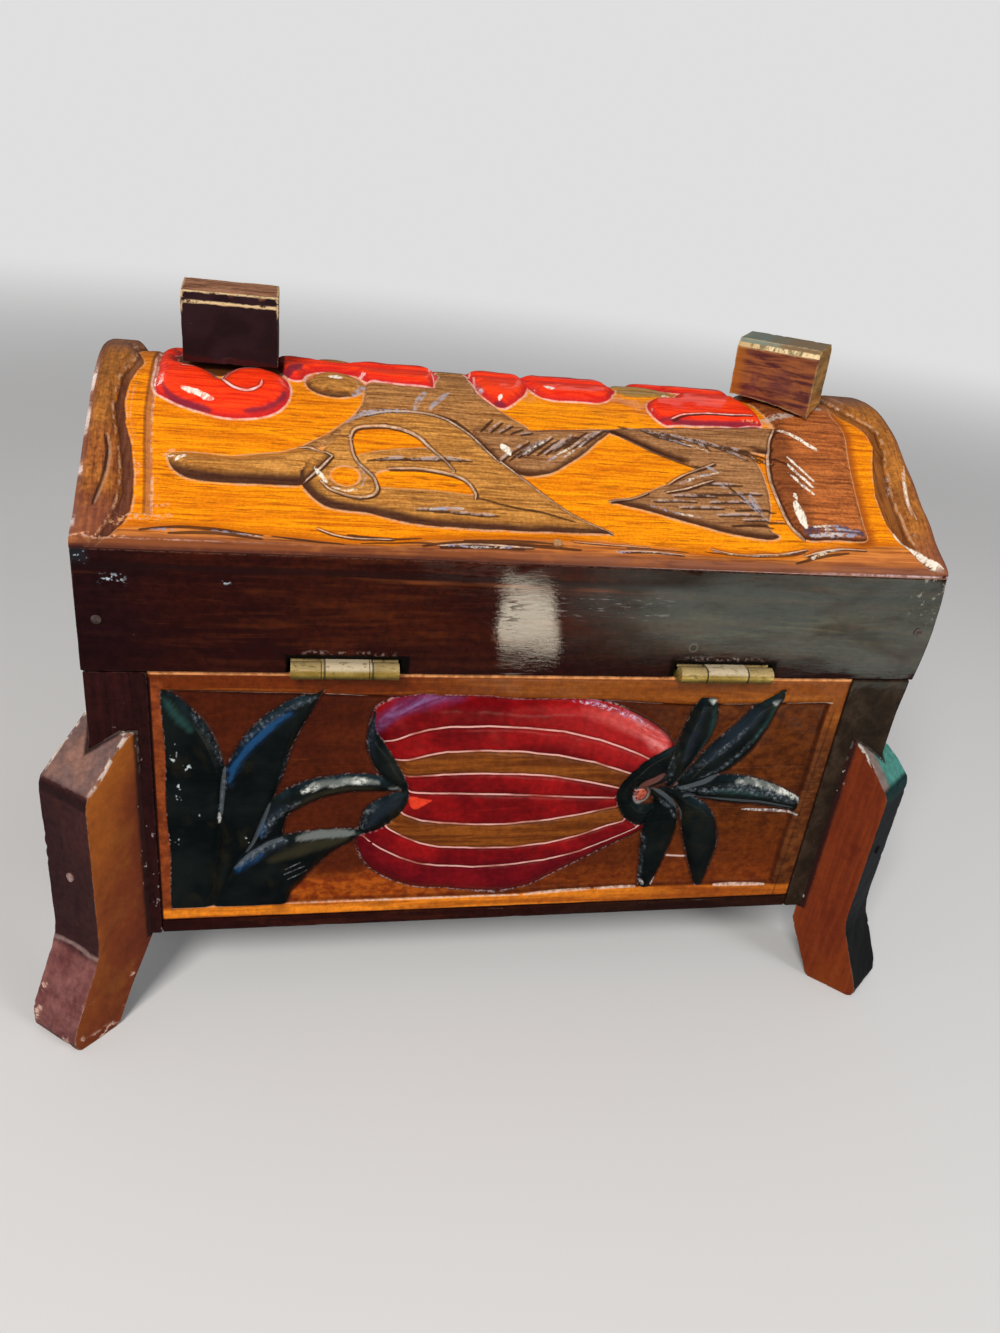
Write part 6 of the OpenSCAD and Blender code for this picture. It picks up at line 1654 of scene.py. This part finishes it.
    # painted shadow on the strip along the right panel's edge
    panel_edge_shadow = g.mul(g.mul(g.step(a["brown"], 3.2, 0.6), g.step(a["brown"], 0.0, 0.3)), g.mul(g.step(la, 82.0, 86.0), g.step(a["gl2"], -0.2, -0.8)))
    col = g.mix(g.mul(panel_edge_shadow, 0.8), col, (0.27, 0.050, 0.006))
    # painted shadow under the crown block
    hol = g.step(g.add(a["hollow"], jit), 0.3, -0.3)
    col = g.mix(g.mul(hol, 0.9), col, (0.030, 0.010, 0.008))
    # painted glints
    gn = g.mul(g.step(g.add(a["lglint"], g.mul(g.sub(wn, 0.5), 1.3)), 0.22, -0.15), g.step(fine, 0.40, 0.54))
    col = g.mix(g.mul(gn, 0.85), col, g.mix(g.step(blot, 0.42, 0.58), (0.30, 0.30, 0.40), (0.80, 0.68, 0.52)))
    # softly worn arris, darkening down its round as painted shade, with thin painted highlight lines along it; dark end
    # grain and dark edge over the rails
    rt = g.step(g.add(la, g.mul(g.sub(big, 0.5), 60.0)), -20.0, 20.0)
    ar = g.step(g.add(ls, g.mul(g.sub(wn, 0.5), 0.8)), 1.7, 1.0)
    arc_c = g.mix(rt, (0.175, 0.050, 0.018), (0.22, 0.080, 0.042))
    arc_c = g.mix(g.mul(g.step(blot, 0.48, 0.64), 0.6), arc_c, (0.36, 0.115, 0.030))
    arc_c = g.mix(g.mul(g.step(gr, 0.46, 0.34), 0.5), arc_c, (0.07, 0.020, 0.012))
    # darker towards the bottom of the round: painted shade
    arc_c = g.mix(g.mul(g.step(ls, 0.75, 0.2), 0.55), arc_c, (0.050, 0.014, 0.013))
    col = g.mix(g.mul(ar, 0.85), col, arc_c)
    # thin pale lines along the arris: painted highlights
    upl = g.mul(g.inv(rt), g.band(g.add(ls, g.mul(jit, 0.5)), 1.35, 1.75, 0.15))
    lol = g.mul(g.step(la, 60.0, 88.0), g.step(g.add(ls, g.mul(jit, 0.4)), 0.36, 0.16))
    endl = g.step(la, -60.0, -96.0)
    col = g.mix(g.mul(g.mul(upl, g.add(0.08, g.mul(endl, 0.6))), g.step(wn, 0.40, 0.60)), col, (0.60, 0.38, 0.32))
    col = g.mix(g.mul(lol, g.add(0.15, g.mul(g.step(wn, 0.40, 0.60), 0.55))), col, (0.60, 0.42, 0.42))
    tip = g.mul(g.inv(rt), g.mul(g.step(ls, 0.6, 0.15), g.step(wn, 0.3, 0.5)))
    col = g.mix(g.mul(tip, 0.6), col, (0.06, 0.018, 0.012))
    nrm = g.node("ShaderNodeSeparateXYZ", {"Vector": g.node("ShaderNodeNewGeometry").outputs["True Normal"]})
    side = g.maxi(g.step(g.math("ABSOLUTE", nrm.outputs[0]), 0.85, 0.95), g.step(g.math("ABSOLUTE", nrm.outputs[1]), 0.985, 0.995))
    under = g.step(nrm.outputs[2], -0.2, -0.4)
    dkc = g.mix(g.step(big, 0.4, 0.7), (0.03, 0.006, 0.004), (0.065, 0.016, 0.008))
    zz = g.xyz()[2]
    sidey = g.step(g.math("ABSOLUTE", nrm.outputs[1]), 0.985, 0.995)
    ends = g.step(g.math("ABSOLUTE", nrm.outputs[0]), 0.85, 0.95)
    edge_c = g.mix(rt, (0.115, 0.032, 0.016), (0.25, 0.085, 0.034))
    edge_c = g.mix(g.mul(g.step(gr, 0.5, 0.36), 0.5), edge_c, (0.055, 0.015, 0.010))
    edge_c = g.mix(g.mul(g.inv(rt), g.step(zz, 0.1332, 0.1322)), edge_c, (0.030, 0.008, 0.009))
    lip = g.step(g.math("ABSOLUTE", g.sub(zz, g.add(0.1323, g.mul(g.step(la, 45.0, 92.0), 0.0012)))), 0.00026, 0.00012)
    edge_c = g.mix(g.mul(g.mul(lip, g.step(la, 0.0, 24.0)), g.add(0.2, g.mul(g.step(wn, 0.40, 0.60), 0.6))), edge_c, (0.58, 0.42, 0.44))
    dkc = g.mix(g.mul(g.mul(sidey, g.inv(ends)), g.step(la, 100.0, 60.0)), dkc, edge_c)
    col = g.mix(g.maxi(side, under), col, dkc)
    hb = g.add(g.mul(gr, 0.55), g.mul(lines, 0.3))
    hb = g.sub(hb, g.mul(g.add(pl, dk), 0.7))
    bump = g.bump(hb, 0.6, 0.00014)
    cb = varnish_bump(g, 0.0001, 190.0, g.bump(hb, 0.5, 0.00006))
    return g.surface(col, 0.42, bump, coat=0.65, coat_rough=0.1, coat_normal=cb, spec=0.06)


def mat_brass(name="hinge_brass"):
    g = Graph(name)
    n = g.noise(g.scaled(500, 900, 900), 1.0, 4.0, 0.6)
    b = g.noise(g.scaled(120, 160, 160), 1.0, 3.0, 0.6)
    z = g.xyz()[2]
    x = g.xyz()[0]
    hx = g.mini(g.math("ABSOLUTE", g.sub(x, 0.046)), g.math("ABSOLUTE", g.add(x, 0.0504)))
    col = g.mix(g.step(b, 0.35, 0.7), (0.33, 0.205, 0.034), (0.58, 0.40, 0.105))
    midk = g.step(hx, 0.0062, 0.0056)
    lit = g.mul(g.step(g.add(z, g.mul(g.sub(b, 0.5), 0.0008)), 0.1044, 0.1054), g.add(0.26, g.mul(midk, 0.62)))
    col = g.mix(lit, col, (0.86, 0.70, 0.47))
    # painted highlight line along the top of the outer knuckles
    edge = g.mul(g.band(z, 0.1049, 0.1053, 0.0001), g.mul(g.inv(midk), g.step(n, 0.42, 0.6)))
    col = g.mix(g.mul(edge, 0.7), col, (0.90, 0.62, 0.30))
    col = g.mix(g.mul(g.step(n, 0.54, 0.66), 0.65), col, (0.16, 0.11, 0.025))
    # darker lower side of the knuckles: painted shade
    col = g.mix(g.mul(g.step(z, 0.1041, 0.1029), 0.8), col, (0.105, 0.088, 0.022))
    kn = g.band(hx, 0.0054, 0.0059, 0.0001)
    col = g.mix(g.mul(kn, 0.8), col, (0.05, 0.035, 0.015))
    rough = g.step(n, 0.3, 0.8, 0.24, 0.42)
    return g.surface(col, rough, g.bump(n, 0.6, 0.00008), metallic=0.45, spec=0.5)


def mat_nail():
    g = Graph("nail_steel")
    n = g.noise(g.scaled(700, 700, 700), 1.0, 3.0, 0.6)
    z = g.xyz()[2]
    col = g.mix(g.step(n, 0.35, 0.65), (0.040, 0.024, 0.022), (0.11, 0.075, 0.066))
    col = g.mix(g.step(z, 0.1322, 0.1327), col, g.mix(g.step(n, 0.4, 0.6), (0.30, 0.125, 0.040), (0.52, 0.27, 0.12)))
    # pale heads on the nails low on the feet: a painted grey-beige highlight, kept dark on the -x side
    col = g.mix(g.step(z, 0.066, 0.055), col, g.mix(g.step(n, 0.35, 0.65), (0.26, 0.14, 0.12), (0.55, 0.38, 0.34)))
    col = g.mix(g.mul(g.step(z, 0.066, 0.055), g.step(g.xyz()[0], 0.0, -0.01)), col, (0.012, 0.010, 0.010))
    return g.surface(col, 0.4, g.bump(n, 0.5, 0.00012), metallic=0.3, spec=0.4)


# ------------------------------------------------------------------ build
RAIL, ENDW = mat_dark_rail(), mat_end_wood()
FOOT = {(sd, rt): mat_foot(sd, rt) for sd in (True, False) for rt in (True, False)}

back = make_panel("carved_back_panel", "back_board", False)
front = make_panel("carved_front_panel", "front_board", True)
PANEL = mat_panel()
for o in (back, front):
    o.data.materials.append(PANEL)
lid = make_lid()
lid.data.materials.append(mat_lid())


def rail_shape(co):
    """the rail's one end is sawn a little convex"""
    t = np.clip((co[:, 2] - 102.4) / 29.6, 0, 1)
    w = sstep(-co[:, 0], 92.0, 107.0)
    out = co.copy()
    out[:, 0] -= w * (1.15 * np.sin(np.pi * t) ** 0.9 - 0.3 * (1 - t))
    return out


def left_end_shape(co):
    """the body's left end runs out a little towards the seam"""
    w = sstep(-co[:, 0], 96.0, 105.8) * sstep(co[:, 2], 90.0, 102.0)
    out = co.copy()
    out[:, 0] -= 0.8 * w
    return out


for node, name, mat, slot, seed, shp in [
        ("lid_back_rail", "back_rail", RAIL, "dark_wood", 1, rail_shape), ("lid_front_rail", "front_rail", RAIL, "dark_wood", 2, rail_shape),
        ("left_end_board", "left_end", ENDW, "dark_wood", 3, left_end_shape), ("right_end_board", "right_end", ENDW, "dark_wood", 4, None),
        ("bottom_board", "base_board", RAIL, "dark_wood", 5, None),
        ("lid_left_end", "lid_left_gable", ENDW, "dark_wood", 6, None), ("lid_right_end", "lid_right_gable", ENDW, "dark_wood", 7, None)]:
    o = worn_copy(node, name, 0.35 if "rail" in name or "gable" in name else 0.6, 2, 4.0, 0.012, 0.2, seed, shape=shp)
    o.data.materials.append(mat)
    sharpen(o)

LIMIT = [max(abs(v[0]) for v in cad_bounds) / MM, max(abs(v[1]) for v in cad_bounds) / MM]
for i, node in enumerate(["foot_back_left", "foot_back_right", "foot_front_left", "foot_front_right"]):
    sx = 1 if "right" in node else -1
    sy = 1 if "back" in node else -1
    out_d = np.array([sx, sy]) / math.sqrt(2)
    # across the board, from its back or front side towards its end side
    acr = np.array([sx, -sy]) / math.sqrt(2)

    def foot_uw(co):
        rel = co[:, :2] - np.array([sx * 105.8, sy * 59.4])
        return rel @ out_d, rel @ acr

    def foot_shape(co):
        """the outer face is sawn slightly out of square"""
        u, w = foot_uw(co)
        k = (0.095 if sx > 0 else 0.12) * w * sstep(u, -2.0, 4.0)
        c = co.copy()
        c[:, :2] += k[:, None] * out_d
        c[:, 0] = np.clip(c[:, 0], cad_bounds[0][0] / MM + 0.05, cad_bounds[1][0] / MM - 0.05)
        c[:, 1] = np.clip(c[:, 1], -LIMIT[1] + 0.05, LIMIT[1] - 0.05)
        return c

    def foot_extra(co):
        u, w = foot_uw(co)
        gap = np.maximum(np.abs(co[:, 0]) - 105.8, np.abs(co[:, 1]) - 59.4)
        gap = np.where(co[:, 2] > 23.0, gap, 5.0)
        return {"fu": u, "fw": w, "joint": np.clip(gap, 0, 5.0)}

    o = worn_copy(node, node + "_carved", 0.9, 3, 1.6, 0.12, 0.45, 20 + i, shape=foot_shape, extra=foot_extra)
    o.data.materials.append(FOOT[(True, sx > 0)])
    o.data.materials.append(FOOT[(False, sx > 0)])
    w = Vector((-sy, sx, 0)).normalized()          # across the board
    idx = [0 if abs(p.normal.dot(w)) > 0.75 else 1 for p in o.data.polygons]
    o.data.polygons.foreach_set("material_index", idx)
    sharpen(o)

for node, name, mat, seed in [("lid_block_left", "crown_block_left", mat_block(False), 40), ("lid_block_right", "crown_block_right", mat_block(True), 41)]:
    o = worn_copy(node, name, 0.7, 3, 1.2, 0.08, 0.3, seed)
    o.data.materials.append(mat)
    sharpen(o)

BRASS, NAIL = mat_brass(), mat_nail()
for n in NODES:
    if "leaf" in n or "pin" in n:
        NODES[n].data.materials.clear()
        NODES[n].data.materials.append(BRASS)
    elif "nails" in n:
        NODES[n].data.materials.clear()
        NODES[n].data.materials.append(NAIL)

# ------------------------------------------------------------------ stage and light
def floor():
    me = bpy.data.meshes.new("floor")
    r, n = 6.0, 96
    vs = [(0, 0, 0)] + [(r * math.cos(2 * math.pi * i / n), r * math.sin(2 * math.pi * i / n), 0) for i in range(n)]
    me.from_pydata(vs, [], [(0, 1 + i, 1 + (i + 1) % n) for i in range(n)])
    ob = bpy.data.objects.new("floor", me)
    bpy.context.scene.collection.objects.link(ob)
    g = Graph("floor_matte")
    col = g.mix(g.noise(g.scaled(3, 3, 3), 1.0, 2.0, 0.5), (0.66, 0.65, 0.64), (0.70, 0.69, 0.68))
    g.surface(col, 0.8, spec=0.0)
    sh = g.out.inputs["Surface"].links[0].from_socket
    x = g.node("ShaderNodeSeparateXYZ", {"Vector": g.obj()})
    d = g.math("SQRT", g.add(g.mul(x.outputs[0], x.outputs[0]), g.mul(x.outputs[1], x.outputs[1])))
    tr = g.node("ShaderNodeBsdfTransparent")
    mx = g.node("ShaderNodeMixShader", {0: g.step(d, 0.45, 1.9)})
    g.nt.links.new(sh, mx.inputs[1])
    g.nt.links.new(tr.outputs[0], mx.inputs[2])
    g.nt.links.new(mx.outputs[0], g.out.inputs["Surface"])
    ob.data.materials.append(g.mat)
    ob.visible_glossy = False


floor()
world = bpy.data.worlds.new("studio")
bpy.context.scene.world = world
world.use_nodes = True
wt = world.node_tree
bg = wt.nodes["Background"]
lp = wt.nodes.new("ShaderNodeLightPath")
seen = wt.nodes.new("ShaderNodeMix")
seen.data_type = "RGBA"
wt.links.new(lp.outputs["Is Camera Ray"], seen.inputs[0])
gloss = wt.nodes.new("ShaderNodeMix")
gloss.data_type = "RGBA"
wt.links.new(lp.outputs["Is Glossy Ray"], gloss.inputs[0])
gloss.inputs[6].default_value = (0.32, 0.32, 0.33, 1)
gloss.inputs[7].default_value = (0.05, 0.052, 0.055, 1)
wt.links.new(gloss.outputs[2], seen.inputs[6])
seen.inputs[7].default_value = (0.74, 0.74, 0.74, 1)
wt.links.new(seen.outputs[2], bg.inputs[0])
bg.inputs[1].default_value = 1.0


def area(name, loc, target, size, power, color=(1, 1, 1), size_y=None):
    d = bpy.data.lights.new(name, "AREA")
    d.energy = power
    d.color = color
    d.shape = "RECTANGLE"
    d.size = size
    d.size_y = size_y or size
    ob = bpy.data.objects.new(name, d)
    bpy.context.scene.collection.objects.link(ob)
    ob.location = loc
    v = Vector(target) - Vector(loc)
    ob.rotation_euler = v.to_track_quat("-Z", "Y").to_euler()
    ob.visible_camera = False
    return ob


key = area("key", (0.45, 0.80, 0.85), (0, 0, 0.1), 0.36, 11.5, (1.0, 0.975, 0.94))
fill = area("fill", (-0.75, 0.80, 0.50), (0, 0, 0.1), 0.42, 5.0, (0.93, 0.97, 1.0))
key.visible_glossy = False
fill.visible_glossy = False


def softbox(name, loc, target, size, color, strength):
    """a dimmer, larger window for the varnish to show"""
    r = size / 2
    me = bpy.data.meshes.new(name)
    me.from_pydata([(-r, -r, 0), (r, -r, 0), (r, r, 0), (-r, r, 0)], [], [(0, 1, 2, 3)])
    ob = bpy.data.objects.new(name, me)
    bpy.context.scene.collection.objects.link(ob)
    ob.location = loc
    ob.rotation_euler = (Vector(target) - Vector(loc)).to_track_quat("-Z", "Y").to_euler()
    g = Graph(name + "_glow")
    em = g.node("ShaderNodeEmission", {"Color": (*color, 1.0), "Strength": strength})
    g.nt.links.new(em.outputs[0], g.out.inputs["Surface"])
    me.materials.append(g.mat)
    ob.visible_camera = False
    ob.visible_diffuse = False
    ob.visible_shadow = False
    ob.visible_transmission = False
    ob.visible_volume_scatter = False
    return ob


softbox("box_back", (0.66, -0.46, 0.70), (0, 0, 0.15), 0.26, (1.0, 0.97, 0.92), 9.0)
softbox("box_front", (-0.40, -0.85, 0.75), (0, 0, 0.1), 0.30, (0.95, 0.98, 1.0), 0.6)

def card(name, pts, color, strength, mottled=0.0, fade=None):
    """a pale studio card lying by the trunk, seen only in the varnish"""
    me = bpy.data.meshes.new(name)
    me.from_pydata([(x * MM, y * MM, 0.002) for x, y in pts], [], [list(range(len(pts)))])
    ob = bpy.data.objects.new(name, me)
    bpy.context.scene.collection.objects.link(ob)
    g = Graph(name + "_glow")
    col = g.mix(0.0, color, color)
    if mottled:
        n = g.noise(g.scaled(10, 26, 1), 1.0, 4.0, 0.65, 0.6)
        col = g.mix(g.mul(g.step(n, 0.5, 0.3), mottled), color, (0.25 * color[0], 0.32 * color[1], 0.3 * color[2]))
    power = strength
    if fade:
        x = g.node("ShaderNodeSeparateXYZ", {"Vector": g.obj()}).outputs[0]
        power = g.mul(g.step(x, fade[0], fade[1], fade[2], 1.0), strength)
    em = g.node("ShaderNodeEmission", {"Color": col, "Strength": power})
    g.nt.links.new(em.outputs[0], g.out.inputs["Surface"])
    me.materials.append(g.mat)
    ob.visible_camera = False
    ob.visible_diffuse = False
    ob.visible_shadow = False
    ob.visible_transmission = False
    ob.visible_volume_scatter = False
    return ob


card("card_window", [(-45, 284), (-74, 283), (-80, 298), (-92, 372), (-68, 374), (-54, 334)], (1.0, 0.90, 0.70), 11.5)
card("card_wide", [(-76, 284), (-83, 300), (-95, 345), (-20, 392), (-20, 450), (-420, 450), (-420, 200), (-228, 250), (-215, 268), (-150, 280)], (0.84, 1.0, 0.86), 1.95, 0.8, (-0.085, -0.165, 0.22))

view = bpy.context.scene.view_settings
view.view_transform = "Standard"
view.look = "None"
